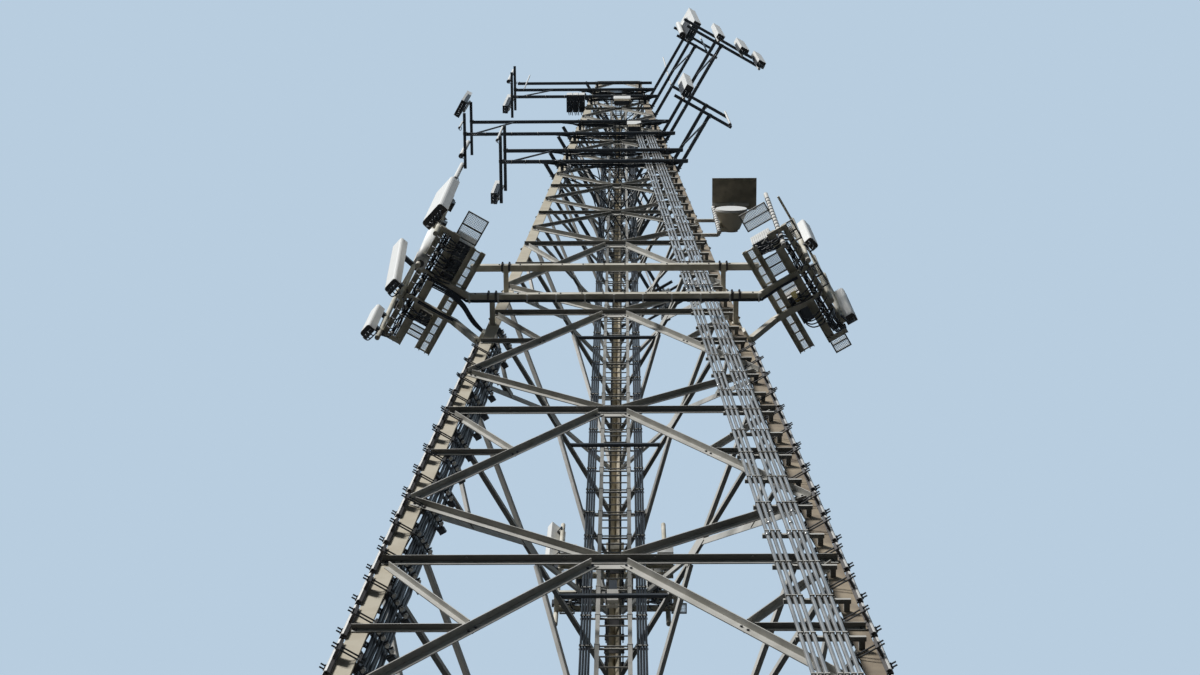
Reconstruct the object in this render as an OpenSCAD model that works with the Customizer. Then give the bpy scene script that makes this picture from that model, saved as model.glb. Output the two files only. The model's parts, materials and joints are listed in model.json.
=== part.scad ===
// Three-legged lattice cell tower, half real size, in millimetres.
// The origin is on the underside of the rear leg's base plate, +Z is up and
// the front face of the tower looks along -Y.

/* [Legs] */
// distance between two leg corners at the ground
base_w = 2925; // [2500:25:3300]
// distance between two leg corners at the top
top_w = 626; // [560:2:760]
// width of each flange of a bent leg plate
leg_flange = 88; // [70:1:100]
// thickness of a leg plate
leg_t = 10; // [8:1:14]
// side of a square base plate
plate_w = 300; // [260:10:400]
// thickness of a base plate
plate_t = 25; // [16:1:40]

/* [Bays] */
// height of the lowest horizontal
first_h = 2236; // [2100:4:2400]
// height of a tall lower bay
bay_h = 2868; // [2600:1:3000]
// height of a short upper bay
upper_h = 1664; // [1500:2:1760]

/* [Bracing] */
// face flange of a horizontal angle
girt_face = 46; // [36:1:56]
// outward flange of a horizontal angle
girt_out = 36; // [30:1:40]
// face flange of a diagonal angle
diag_face = 44; // [34:1:54]
// outward flange of a diagonal angle
diag_out = 36; // [28:1:40]
// flange of a small brace angle
small_face = 30; // [24:1:36]
// thickness of every angle
angle_t = 5; // [4:0.5:7]
// width of a centre gusset plate
gusset_w = 200; // [150:5:220]
// distance of the level bars inside from the rear leg corner
plan_in = 570; // [540:5:640]

/* [Ladder] */
// clear width between the ladder rails
ladder_w = 170; // [150:1:180]
// spacing of the rungs
rung_pitch = 152.4; // [140:0.1:160]
// distance of the ladder's back from the rear leg corner
ladder_gap = 370; // [350:5:385]

/* [Feed lines] */
// radius of a black feed line
feed_r = 7.5; // [6:0.5:8]
// spacing of the feed lines
feed_pitch = 16.5; // [16.5:0.5:20]
// radius of a grey conduit on the front
conduit_r = 9; // [6:0.5:11]

/* [Lower mounts] */
// drop of the lower mounts under the sixth horizontal
low_drop = 336; // [300:2:380]
// height of the second cross beam over the first
low_rise = 1120; // [1060:2:1180]
// distance of the cross beams from the front face
beam_off = 195; // [180:1:210]
// side of a square tube
tube = 44; // [36:1:48]
// length of a walkway
walk_l = 836; // [780:2:880]
// length of the outer channel of a mount
channel_l = 900; // [840:2:940]
// distance from the leg to the outer channel
channel_y = 490; // [470:1:505]
// radius of an antenna pipe
pipe_r = 18; // [14:0.5:20]

/* [Top mounts] */
// distance of an arm pipe from the face of the tower
arm_off = 100; // [96:1:120]
// radius of an arm pipe
arm_r = 20; // [16:0.5:22]
// reach of the lower arms from the middle of the face
lower_end = 1200; // [1120:5:1300]
// reach of the middle arms from the middle of the face
middle_end = 1730; // [1650:5:1800]
// reach of the upper arms from the middle of the face
upper_end = 1380; // [1300:5:1450]

/* [Hidden] */

bays = 6;
upper_bays = 8;
root3 = sqrt(3);
split_h = first_h + bays * bay_h;
tower_h = split_h + upper_bays * upper_h;
slope = (base_w - top_w) / tower_h;
face_off = base_w / (2 * root3);
face_lean = atan(slope / (2 * root3));
leg_lean = atan(slope / root3);
leg_in_face = atan(slope / 2 * cos(face_lean));
front_turn = 0;
right_turn = 120;
left_turn = -120;
mid_part = 0.35;
low_part = 0.325;
edge = 14;
eps = 0.2;

steel = [0.62, 0.64, 0.64];
leg_tone = [0.72, 0.66, 0.54];
dark_steel = [0.22, 0.22, 0.23];
white = [0.9, 0.9, 0.88];
black = [0.08, 0.08, 0.09];
brown = [0.25, 0.2, 0.16];

function w_at(z) = base_w - slope * z;
function half_at(z) = w_at(z) / 2;
function reach_at(z) = w_at(z) / root3;
function s_at(z) = z / cos(face_lean);
function girt_z(k) = first_h + k * bay_h;
function upper_z(k) = split_h + k * upper_h;
low_z = girt_z(5) - low_drop;
high_z = low_z + low_rise;

// Places the children on the tower's vertical axis
module at_axis() {
    translate([0, -base_w / root3, 0]) children();
}

// Places the children in the plane of one face, x across, z up the face, -y outward
module face_frame(turn) {
    at_axis()
        rotate([0, 0, turn])
            translate([0, -face_off, 0])
                rotate([-face_lean, 0, 0])
                    children();
}

// Places the children in a frame that leans with one leg, x tangential, +y outward
module leg_frame(turn) {
    at_axis()
        rotate([0, 0, turn])
            translate([0, base_w / root3, 0])
                rotate([leg_lean, 0, 0])
                    children();
}

// One flange of a bent leg plate, lying in a face
module leg_flange_plate(side) {
    notch = leg_t / root3;
    s0 = s_at(plate_t) + eps;
    s1 = s_at(tower_h);
    a0 = half_at(plate_t);
    a1 = half_at(tower_h);
    translate([0, leg_t, 0])
        rotate([90, 0, 0])
            linear_extrude(leg_t)
                polygon([
                    [side * (a0 - notch), s0],
                    [side * (a1 - notch), s1],
                    [side * (a1 - leg_flange), s1],
                    [side * (a0 - leg_flange), s0]
                ]);
}

// A bar of angle section between two points of a face, with its outward flange on top
module angle_bar(x1, s1, x2, s2, face_leg, out_leg) {
    length = norm([x2 - x1, s2 - s1]);
    turn = atan2(x2 - x1, s2 - s1);
    up = x2 > x1 ? -1 : 1;
    h = face_leg / 2;
    translate([x1, 0, s1])
        rotate([0, turn, 0])
            linear_extrude(length)
                polygon([
                    [-up * h, 0],
                    [up * h, 0],
                    [up * h, -out_leg],
                    [up * (h - angle_t), -out_leg],
                    [up * (h - angle_t), -angle_t],
                    [-up * h, -angle_t]
                ]);
}

// One level of a face: a horizontal, its centre gusset and the diagonals bolted to it
// sizes = [girt face, girt out, diagonal face, diagonal out, gusset width]
module level(z, sizes, z_down, z_up) {
    girt_w = sizes[0];
    diag_w = sizes[2];
    plate = sizes[4];
    s = s_at(z);
    a = half_at(z) - edge;
    off = girt_w / 2 + diag_w / 2;
    x0 = plate / 2 - diag_w * 0.7;
    top = z_up > z ? off + diag_w * 0.7 : girt_w / 2;
    angle_bar(-a, s, a, s, girt_w, sizes[1]);
    translate([-plate / 2, 0, s - off - diag_w])
        cube([plate, angle_t, top + off + diag_w]);
    for (side = [-1, 1]) {
        x_down = half_at(z_down) - edge - diag_w / 2;
        angle_bar(side * x0, s - off, side * x_down, s_at(z_down) + diag_w * 0.6, diag_w, sizes[3]);
        if (z_up > z) {
            x_up = half_at(z_up) - edge - diag_w / 2;
            angle_bar(side * x0, s + off, side * x_up, s_at(z_up) - diag_w * 0.6, diag_w, sizes[3]);
        }
    }
}

// The two small bars and the tab that hold a long diagonal to its leg
module small_braces(side, z_top, x0, off) {
    z_leg = z_top - (1 - mid_part) * bay_h;
    z_low = z_top - low_part * bay_h;
    s_from = s_at(z_top) - off;
    s_to = s_at(z_leg) + diag_face * 0.6;
    x_to = half_at(z_leg) - edge - diag_face / 2;
    s_low = s_at(z_low);
    x_diag = x0 + (x_to - x0) * (s_from - s_low) / (s_from - s_to);
    x_low = half_at(z_low) - edge;
    x_top = half_at(z_top) - edge - small_face;
    clear = diag_face * 0.95;
    angle_bar(side * x_low, s_low, side * (x_diag + clear), s_low, small_face, small_face);
    angle_bar(side * x_top, s_at(z_top) - girt_face - small_face / 2, side * (x_diag + clear * 0.55), s_low + small_face * 1.7, small_face, small_face);
    translate([side * (x_diag + clear * 0.8) - clear, 0, s_low - small_face * 0.8])
        cube([2 * clear, angle_t, small_face * 3.4]);
}

low_sizes = [girt_face, girt_out, diag_face, diag_out, gusset_w];
up_sizes = [girt_face - 10, girt_out - 6, diag_face - 10, diag_out - 8, gusset_w * 0.6];

// The bracing of one face below the split
module face_lower() {
    off = (girt_face + diag_face) / 2;
    x0 = gusset_w / 2 - diag_face * 0.7;
    for (k = [0 : bays]) {
        z = girt_z(k);
        level(z, low_sizes, z - (1 - mid_part) * bay_h, k < bays ? z + mid_part * bay_h : z + upper_h / 2);
        for (side = [-1, 1])
            small_braces(side, z, x0, off);
    }
}

// The bracing of one face above the split
module face_upper() {
    for (k = [1 : upper_bays]) {
        z = upper_z(k) - (k == upper_bays ? girt_face : 0);
        level(z, up_sizes, upper_z(k) - upper_h / 2, k < upper_bays ? z + upper_h / 2 : 0);
    }
}

// A level bar between the left and right faces, at a set distance from the rear leg's corner
module plan_bar(z) {
    wall = w_at(z) / (2 * root3) - eps;
    y = reach_at(z) - plan_in;
    function end_at(y) = (wall - y / 2) / cos(30);
    for (cut = [[small_face, angle_t], [angle_t, small_face]])
        translate([0, 0, z - cut[1]])
            linear_extrude(cut[1])
                polygon([for (c = [[-1, y], [1, y], [1, y + cut[0]], [-1, y + cut[0]]])
                    [c[0] * end_at(c[1]), c[1]]]);
}

module leg_rear() {
    color(leg_tone) {
        face_frame(right_turn) leg_flange_plate(1);
        face_frame(left_turn) leg_flange_plate(-1);
    }
}

module leg_left() {
    color(leg_tone) {
        face_frame(front_turn) leg_flange_plate(-1);
        face_frame(left_turn) leg_flange_plate(1);
    }
}

module leg_right() {
    color(leg_tone) {
        face_frame(front_turn) leg_flange_plate(1);
        face_frame(right_turn) leg_flange_plate(-1);
    }
}

// One base plate with four anchor holes
module base_plate() {
    hole = plate_w / 2 - 45;
    difference() {
        translate([-plate_w / 2, -plate_w / 2, 0])
            cube([plate_w, plate_w, plate_t]);
        for (x = [-hole, hole])
            for (y = [-hole, hole])
                translate([x, y, -1])
                    cylinder(h = plate_t + 2, r = 16, $fn = 48);
    }
}

module base_plates() {
    color(steel)
        at_axis()
            for (a = [0, 120, 240])
                translate([-reach_at(0) * sin(a), reach_at(0) * cos(a), 0])
                    base_plate();
}

module front_face_lower() {
    color(steel) face_frame(front_turn) face_lower();
}

module front_face_upper() {
    color(steel) face_frame(front_turn) face_upper();
}

module left_face_lower() {
    color(steel) face_frame(left_turn) face_lower();
}

module left_face_upper() {
    color(steel) face_frame(left_turn) face_upper();
}

module right_face_lower() {
    color(steel) face_frame(right_turn) face_lower();
}

module right_face_upper() {
    color(steel) face_frame(right_turn) face_upper();
}

module plan_bracing() {
    color(dark_steel)
        at_axis()
            for (k = [0 : bays])
                plan_bar(girt_z(k));
}

rail_x = 26;
rail_y = 26;
first_rung = 424;
rungs = floor((tower_h - first_rung - 150) / rung_pitch);
bar_deep = 10;
bar_high = 12;
rung_r = 5;
line_gap = 34;
line_x = ladder_w / 2 + rail_x + line_gap;

module ladder() {
    color(steel)
        leg_frame(0) {
            for (side = [-1, 1])
                translate([side * (ladder_w + rail_x) / 2 - rail_x / 2, -ladder_gap - rail_y, 250])
                    cube([rail_x, rail_y, tower_h - 350]);
            for (k = [0 : rungs - 1])
                translate([-ladder_w / 2 - 4, -ladder_gap - rail_y / 2, first_rung + k * rung_pitch])
                    rotate([0, 90, 0])
                        cylinder(h = ladder_w + 8, r = rung_r, $fn = 6);
        }
}

// Bars behind every third rung carry the feed lines and tie the ladder to the leg
module ladder_brackets() {
    leg_edge = leg_flange * cos(30);
    half = line_x + 3 * feed_pitch + feed_r + 4;
    color(steel)
        leg_frame(0)
            for (k = [1 : 3 : rungs - 3])
                translate([0, 0, first_rung + k * rung_pitch - bar_high / 2]) {
                    translate([-half, -ladder_gap, 0])
                        cube([2 * half, bar_deep, bar_high]);
                    for (side = [-1, 1])
                        translate([side * (leg_flange / 2 - 6) - 6, -ladder_gap + bar_deep - 1, 0])
                            cube([12, ladder_gap - bar_deep - leg_edge + 1, bar_high]);
                }
}

module feed_lines_rear() {
    line_top = tower_h * 0.9;
    color(black)
        leg_frame(0)
            for (side = [-1, 1])
                for (k = [0 : 3])
                    translate([side * (line_x + k * feed_pitch), -ladder_gap - feed_r, 300])
                        cylinder(h = line_top, r = feed_r, $fn = 24);
}

// Places the children on one leg line inside a face frame
module leg_line(side) {
    translate([side * base_w / 2, 0, 0])
        rotate([0, -side * leg_in_face, 0])
            children();
}

hanger_pitch = bay_h / 6;
hanger_count = 34;

module feed_lines_left() {
    color(black)
        face_frame(left_turn)
            leg_line(1)
                for (k = [0 : 6])
                    translate([-120 - k * feed_pitch, leg_t + 12 + feed_r, 300])
                        cylinder(h = low_z - 380, r = feed_r, $fn = 24);
}

module feed_line_hangers() {
    color(steel)
        face_frame(left_turn)
            leg_line(1)
                for (k = [0 : hanger_count - 1])
                    translate([-236, leg_t, first_h * 0.25 + k * hanger_pitch])
                        cube([186, 12, 20]);
}

conduit_in = 230;
conduit_s0 = 620;
conduit_s1 = s_at(upper_z(4) + 400);
conduit_places = [-93, -66, -39, 12, 39, 66, 93];
stand = 38;
bar_t = 20;
bar_over = 114;

// Seven conduits beside the right leg, in a group of three and a group of four
module front_conduits() {
    color(steel)
        face_frame(front_turn)
            leg_line(1)
                for (x = conduit_places)
                    translate([x - conduit_in, -stand - bar_t - conduit_r, conduit_s0])
                        cylinder(h = conduit_s1 - conduit_s0, r = conduit_r, $fn = 24);
}

// A level bar behind the conduits, held off the leg's flange
module conduit_bracket(z) {
    a = half_at(z);
    reach = conduit_in + bar_over;
    translate([a - reach, -stand - bar_t, s_at(z)])
        cube([reach - 48, bar_t, 20]);
    translate([a - 79, -stand - 1, s_at(z)])
        cube([26, stand + 1 - eps, 20]);
}

// The brackets keep clear of the ends of the diagonals
module conduit_brackets() {
    color(steel)
        face_frame(front_turn) {
            for (k = [0 : 6 * bays + 2])
                conduit_bracket(first_h + bay_h * (k / 6 - 0.413));
            for (k = [0 : 16])
                conduit_bracket(split_h + upper_h * (k + 0.5) / 4);
        }
}

// Sleeve pieces bolted outside one leg corner
sleeve_pitch = bay_h / 6.5;
sleeve_h = sleeve_pitch * 0.86;
sleeve_count = 35;
tip = -leg_t / 2 + eps;

cap_out = 22;
cap_half = 16;
cap_cut = 6;
cap_t = 5;
rib_half = 4;

// Bent channel pieces clamped over the corner of a leg, on a rib that stands on its nose
module leg_sleeves() {
    half = [
        [rib_half, tip], [rib_half, cap_out - cap_t], [cap_half - cap_t, cap_out - cap_t],
        [cap_half - cap_t, 0], [cap_half, 0], [cap_half, cap_out - cap_cut], [cap_half - cap_cut, cap_out]
    ];
    last = len(half) - 1;
    for (k = [0 : sleeve_count - 1])
        translate([0, 0, 120 + k * sleeve_pitch])
            linear_extrude(sleeve_h)
                polygon([
                    for (p = half) p,
                    for (i = [last : -1 : 0]) [-half[i][0], half[i][1]]
                ]);
}

module leg_sleeves_rear() {
    color(dark_steel) leg_frame(0) leg_sleeves();
}

module leg_sleeves_left() {
    color(dark_steel) leg_frame(120) leg_sleeves();
}

module leg_sleeves_right() {
    color(dark_steel) leg_frame(-120) leg_sleeves();
}

// A square tube between two points
module strut(p1, p2, side) {
    v = p2 - p1;
    translate(p1)
        rotate([0, acos(v[2] / norm(v)), atan2(v[1], v[0])])
            translate([-side / 2, -side / 2, 0])
                cube([side, side, norm(v)]);
}

// An upright cylinder
module post(x, y, z, h, r) {
    translate([x, y, z]) cylinder(h = h, r = r, $fn = 32);
}

// Distance of each cross beam's end past the leg corner
beam_over = [138, 225];
tie_w = 36;
pad = 56;

// Two tubes across the front that carry the side mounts, on ties bolted to the legs
module cross_beams() {
    color(steel)
        face_frame(front_turn)
            for (k = [0, 1]) {
                z = [low_z, high_z][k];
                a = half_at(z);
                end = a + beam_over[k];
                translate([-end, -beam_off - tube / 2, s_at(z) - tube / 2])
                    cube([2 * end, tube, tube]);
                for (side = [-1, 1])
                    translate([side * (a - 40), 0, s_at(z)]) {
                        translate([-tie_w / 2, -beam_off, -tie_w / 2])
                            cube([tie_w, beam_off - 6, tie_w]);
                        translate([-pad / 2 + side * 2, -8 - eps, -pad / 2])
                            cube([pad, 8, pad]);
                        for (s = [-1, 1])
                            translate([-pad / 2, -beam_off - tube / 2 - 6, s * (tube / 2 + 4) - 4])
                                cube([pad, tube + 12, 8]);
                    }
            }
}

arm_x = 105;
arm_y0 = 190;
arm_end = channel_y + 30;
kick = 470;
clamp_h = 120;
channel_w = 60;
channel_t = 6;
outer_y = channel_y + 105;
walk_y = [265, 342];
walk_w = 38;
arm_top = tube * 1.5 + eps;

// Places the children outside one leg, x tangential, y = 0 on the leg corner at the lower mounts
module mount_at(turn) {
    at_axis()
        rotate([0, 0, turn])
            translate([0, reach_at(low_z), low_z])
                children();
}

// Two plates bolted round a leg
module leg_clamp(turn, z) {
    leg_edge = leg_flange * cos(30);
    leg_frame(turn)
        translate([0, 0, z / cos(leg_lean)]) {
            translate([-62, tip, -clamp_h / 2]) cube([124, 20, clamp_h]);
            translate([-62, -leg_edge - leg_t / 2 - 12 - eps, -clamp_h / 2]) cube([124, 12, clamp_h]);
        }
}

// A channel section along x with its open side down
module channel(length, width, depth) {
    translate([-length / 2, 0, 0])
        rotate([90, 0, 90])
            linear_extrude(length)
                polygon([
                    [-width / 2, 0], [-width / 2, -depth], [-width / 2 + channel_t, -depth],
                    [-width / 2 + channel_t, -channel_t], [width / 2 - channel_t, -channel_t],
                    [width / 2 - channel_t, -depth], [width / 2, -depth], [width / 2, 0]
                ]);
}

left_pipes = [-424, -165, 91, 425];
right_pipes = [-300, -140, 190];
rear_pipes = [-436, -20, 380];

// The frame of one lower mount; the kicked arms stand on leg clamps
module mount_frame(turn, kicked, pipes, extra = 0) {
    arm_z = tube + eps;
    drop = reach_at(low_z - kick) - reach_at(low_z);
    leg_clamp(turn, low_z - kick);
    mount_at(turn) {
        for (side = [-1, 1]) {
            translate([side * arm_x - tube / 2, arm_y0, arm_z - tube / 2])
                cube([tube, arm_end - arm_y0, tube]);
            if (search(side, kicked) != [])
                strut([side * 22, 18 + drop + tip, -kick], [side * arm_x, arm_y0 + 24, arm_z], tube - 4);
        }
        translate([0, channel_y, arm_top + 34]) channel(channel_l, channel_w, 34);
        translate([0, outer_y, arm_top + 34]) channel(channel_l, 40, 34);
        for (side = [-1, 1])
            translate([side * (channel_l / 2 - 18) - 16, channel_y - channel_w / 2 + 1, arm_top + 5])
                cube([32, outer_y - channel_y + channel_w / 2 + 18, 18]);
        for (x = [-arm_x, arm_x])
            translate([x - 16, arm_end - 10, arm_top - 14])
                cube([32, outer_y - arm_end + 10, 24]);
        for (x = pipes)
            post(x, outer_y + 20 + pipe_r - 4, -150, low_rise + 420 + extra, pipe_r);
        translate([-channel_l / 2, outer_y + 20 + pipe_r, low_rise])
            rotate([0, 90, 0])
                cylinder(h = channel_l, r = 9, $fn = 16);
    }
}

module mount_frame_rear() {
    color(steel) mount_frame(0, [-1, 1], rear_pipes, 740);
}

module mount_frame_left() {
    color(steel) mount_frame(120, [1], left_pipes);
}

module mount_frame_right() {
    color(steel) mount_frame(-120, [-1], right_pipes);
}

// Two channels with a narrow grating between them, resting on the arms
module walkway() {
    z = arm_top + 34 + eps;
    for (y = walk_y)
        translate([0, y, z]) channel(walk_l, walk_w, 34);
    bars = 12;
    pitch = (walk_l - 20) / bars;
    for (k = [0 : bars])
        translate([-walk_l / 2 + 5 + k * pitch, walk_y[0], z - 16])
            cube([10, walk_y[1] - walk_y[0], 8]);
}

module walkway_rear() {
    color(steel) mount_at(0) walkway();
}

module walkway_left() {
    color(steel) mount_at(120) walkway();
}

module walkway_right() {
    color(steel) mount_at(-120) walkway();
}

// A panel antenna that stands on the outside of its pipe
module panel(x, w, d, z, h) {
    gap = outer_y + 20 + 2 * pipe_r - 4 + eps;
    translate([x - 20, gap, z + h * 0.16]) cube([40, 22, 40]);
    translate([x - 20, gap, z + h * 0.8]) cube([40, 22, 40]);
    translate([x - w / 2, gap + 20, z]) cube([w, d, h]);
}

module antennas_rear() {
    color(white)
        mount_at(0) {
            panel(rear_pipes[0] - pipe_r, 140, 76, 1240, 900);
            panel(rear_pipes[1], 116, 62, 300, 1330);
        }
}

module antennas_left() {
    color(white)
        mount_at(120) {
            panel(left_pipes[0], 200, 76, 260, 1400);
            panel(left_pipes[1], 76, 60, -60, 1200);
            panel(left_pipes[2], 116, 62, -100, 1330);
            panel(left_pipes[3], 150, 76, -100, 920);
        }
}

module antennas_right() {
    color(white)
        mount_at(-120) {
            panel(right_pipes[0], 130, 70, -100, 1250);
            panel(right_pipes[2], 90, 60, 200, 700);
        }
}

deck = arm_top + 34;
deck_y = [walk_y[1] - 6, channel_y - 6];
left_radios = [[-415, -300, 300], [-285, -185, 250], [-168, -78, 250], [150, 250, 220]];
right_radios = [[330, 430, 260], [-95, -30, 200]];
rear_radios = [[-290, -200, 250], [-50, 50, 250], [230, 330, 250]];
hung_radios = [-370, 380];

// Radio units standing between the walkway and the outer channel, each as [x0, x1, height]
module radio_row(units) {
    for (u = units)
        translate([u[0], deck_y[0], deck + 2 * eps])
            cube([u[1] - u[0], deck_y[1] - deck_y[0], u[2]]);
}

module radios_lower() {
    color(steel) {
        mount_at(0) {
            radio_row(rear_radios);
            for (x = hung_radios)
                translate([x - 62, outer_y + 16 - eps - 80, low_rise + 30])
                    cube([124, 80, 200]);
        }
        mount_at(120) radio_row(left_radios);
        mount_at(-120) radio_row(right_radios);
    }
}

// The rim and middle bar of one grating; its mesh is finer than this
module grating_frame(x0, x1, y0, y1) {
    bar = 10;
    difference() {
        translate([x0, y0, 0]) cube([x1 - x0, y1 - y0, bar]);
        translate([x0 + bar, y0 + bar, -1]) cube([x1 - x0 - 2 * bar, y1 - y0 - 2 * bar, bar + 2]);
    }
    translate([(x0 + x1) / 2 - bar / 2, y0 + 1, 1]) cube([bar, y1 - y0 - 2, bar - 2]);
}

mast_r = pipe_r - 1;
pipe_at = [370, channel_y + channel_w / 2 + mast_r + eps];
half_l = channel_l / 2;

module grating_frames() {
    over = outer_y + 20;
    color(steel) {
        mount_at(-120) {
            translate([0, 0, deck + 2 * eps]) {
                grating_frame(-20, 80, deck_y[0], deck_y[1]);
                grating_frame(150, 300, deck_y[0], deck_y[1]);
                grating_frame(-86, 92, over - 30, over + 50);
                grating_frame(298, half_l, over - 30, over + 50);
                grating_frame(-half_l - 100, -half_l + 20, channel_y - 24, outer_y - 4);
            }
            translate([0, 0, low_rise + 140])
                grating_frame(pipe_at[0] - 72, pipe_at[0] + 72, 300, pipe_at[1] - mast_r - eps);
        }
        mount_at(120)
            translate([0, 0, deck + 2 * eps]) {
                grating_frame(-half_l - 180, -half_l + 20, deck_y[0], deck_y[1] + 16);
                grating_frame(270, 360, deck_y[0], deck_y[1]);
            }
        mount_at(0)
            translate([0, 0, deck + 2 * eps])
                for (k = [0, 2]) {
                    x = rear_pipes[k] + pipe_r + 6;
                    grating_frame(x, x + 112, outer_y - 30, outer_y + 50);
                }
    }
}

dish_z = s_at(girt_z(6)) + 550;
dish_r = 136;
dish_at = [995, -216];
mast_at = [878, -80];
mast_z = [150, 1506];
mast_arms = [356, 1120];

// A small dish with a deep conical back, facing forwards
module dish_antenna() {
    rim = 30;
    back = 145;
    hub = 74;
    color(white)
        face_frame(front_turn)
            translate([dish_at[0], dish_at[1], dish_z]) {
                rotate([-90, 0, 0]) {
                    cylinder(h = rim, r = dish_r, $fn = 96);
                    translate([0, 0, rim]) cylinder(h = back, r1 = dish_r, r2 = hub, $fn = 96);
                }
                translate([mast_at[0] - dish_at[0] + mast_r + eps, mast_at[1] - dish_at[1] - 30, -40])
                    cube([60, 60, 80]);
            }
}

module ice_shield() {
    color(brown)
        face_frame(front_turn)
            translate([868, -345, s_at(girt_z(6)) + mast_z[1] + eps])
                cube([400, 290, 6]);
}

// The mast of the dish beside the right leg, and the clamped pipe at the end of the right mount
module dish_pipes() {
    color(white) {
        face_frame(front_turn)
            translate([0, 0, s_at(girt_z(6))]) {
                post(mast_at[0], mast_at[1], mast_z[0], mast_z[1] - mast_z[0], mast_r);
                for (s = mast_arms) {
                    leg_x = half_at(girt_z(6) + s) - 44;
                    translate([leg_x - 26, -9, s - 30]) cube([52, 9 - eps, 60]);
                    translate([leg_x, -36, s - 14]) cube([mast_at[0] - leg_x, 28, 28]);
                    translate([mast_at[0] - 14, mast_at[1], s - 14]) cube([28, -36 - mast_at[1] + 20, 28]);
                }
                strut([mast_at[0], mast_at[1], 1150], [1060, -110, mast_z[1] - 12], 24);
                translate([mast_at[0] - 10, -120, mast_z[1] - 20]) cube([330, 24, 20]);
            }
        mount_at(-120)
            post(pipe_at[0], pipe_at[1], -160, low_rise + 930, mast_r);
    }
}

// Three booms at one level, each as [turn, lowest height from a horizontal, rise, cross pipe]
lower_set = [[0, -546, 860, [-370, 330]], [120, 294, 740, [-370, 330]], [-120, -236, 800, [-370, 330]]];
middle_set = [[0, -1564, 1140, [-340, 290]], [120, -634, 730, [-580, 360]], [-120, -1364, 900, [-400, 400]]];
upper_set = [[0, -1022, 840, [-420, 170]], [120, -1397, 925, [-420, 170]], [-120, -652, 1030, [-420, 170]]];
face_r = arm_r - 3;

// One boom along a face: level pipes clamped to two legs, with cross pipes at their free ends
module boom(z0, rise, count, end, cross) {
    for (k = [0 : count - 1]) {
        z = z0 + k * rise;
        s = s_at(z);
        a = half_at(z);
        translate([-end, -arm_off, s])
            rotate([0, 90, 0])
                cylinder(h = end + a + 110, r = arm_r, $fn = 32);
        for (side = [-1, 1])
            translate([side * (a - 58) - 16, -arm_off, s - 22])
                cube([32, arm_off - eps, 44]);
        if (k < 2)
            translate([-end, cross[0], s])
                rotate([-90, 0, 0])
                    cylinder(h = cross[1] - cross[0], r = face_r, $fn = 32);
    }
    strut([-end + 90, -arm_off, s_at(z0)], [-end + 520, -arm_off, s_at(z0 + rise)], 16);
}

module booms(set, k, count, end) {
    color(dark_steel)
        for (b = set)
            face_frame(b[0]) boom(upper_z(k) + b[1], b[2], count, end, b[3]);
}

module lower_arms() {
    booms(lower_set, 3, 2, lower_end);
}

module middle_arms() {
    booms(middle_set, 5, 2, middle_end);
}

module upper_arms() {
    booms(upper_set, 7, 3, upper_end);
}

// A round antenna clamped outside the cross pipes, x and y in the plane of a face
module round_antenna(end, y, z, r, h) {
    post(-end - face_r - r - eps, y, s_at(z), h, r);
}

// A panel antenna on its own pipe outside the cross pipes, turned about that pipe
module boom_panel(end, y, z, w, d, h, turn = 0) {
    translate([-end - face_r - 14 - eps, y, s_at(z)]) {
        post(0, 0, -60, h + 20, 14);
        rotate([0, 0, turn]) {
            translate([-22 - d, -w / 2, 0]) cube([d, w, h]);
            for (part = [0.12, 0.72])
                translate([-26, -16, h * part]) cube([32, 32, 30]);
        }
    }
}

module lower_antennas() {
    z = upper_z(3);
    color(white) {
        face_frame(0) {
            boom_panel(lower_end, 290, z - 480, 115, 60, 900);
            round_antenna(lower_end, -335, z - 620, 12, 1100);
        }
        face_frame(120) {
            boom_panel(lower_end, 240, z + 200, 84, 126, 950);
            round_antenna(lower_end, -335, z + 230, 12, 900);
        }
        face_frame(-120) {
            boom_panel(lower_end, 200, z - 280, 115, 60, 900);
            round_antenna(lower_end, -335, z - 300, 12, 950);
        }
    }
}

module middle_antennas() {
    z = upper_z(5);
    color(white) {
        face_frame(0) {
            boom_panel(middle_end, -315, z - 1118, 200, 64, 1000, 29);
            round_antenna(middle_end, -230, z - 2010, 10, 560);
            round_antenna(middle_end, 140, z - 1590, 26, 1200);
            round_antenna(middle_end, 262, z - 2600, 26, 1160);
        }
        face_frame(120) {
            boom_panel(middle_end, -40, z - 700, 90, 60, 1100);
            boom_panel(middle_end, -340, z - 850, 104, 70, 900);
            boom_panel(middle_end, -530, z - 1300, 90, 70, 850);
        }
        face_frame(-120) {
            boom_panel(middle_end, -100, z - 1450, 90, 60, 1100);
            boom_panel(middle_end, 300, z - 1500, 90, 60, 1100);
        }
    }
}

module upper_antennas() {
    z = upper_z(7);
    color(white) {
        face_frame(0) {
            round_antenna(upper_end, -310, z - 1100, 22, 1500);
            boom_panel(upper_end, 35, z - 1250, 100, 60, 1350);
            post(-upper_end + 130, -arm_off - arm_r - 9 - eps, s_at(z) - 400, 1900, 9);
        }
        face_frame(120) {
            boom_panel(upper_end, 44, z - 1650, 96, 240, 1600);
            round_antenna(upper_end, 128, z - 1550, 34, 1250);
            round_antenna(upper_end, -240, z - 1500, 10, 1500);
            post(-747, -arm_off - arm_r - 9 - eps, s_at(z) - 900, 2900, 9);
        }
        face_frame(-120) {
            boom_panel(upper_end, 35, z - 700, 100, 60, 1200);
            round_antenna(upper_end, -310, z - 800, 22, 1500);
        }
    }
}

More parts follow.
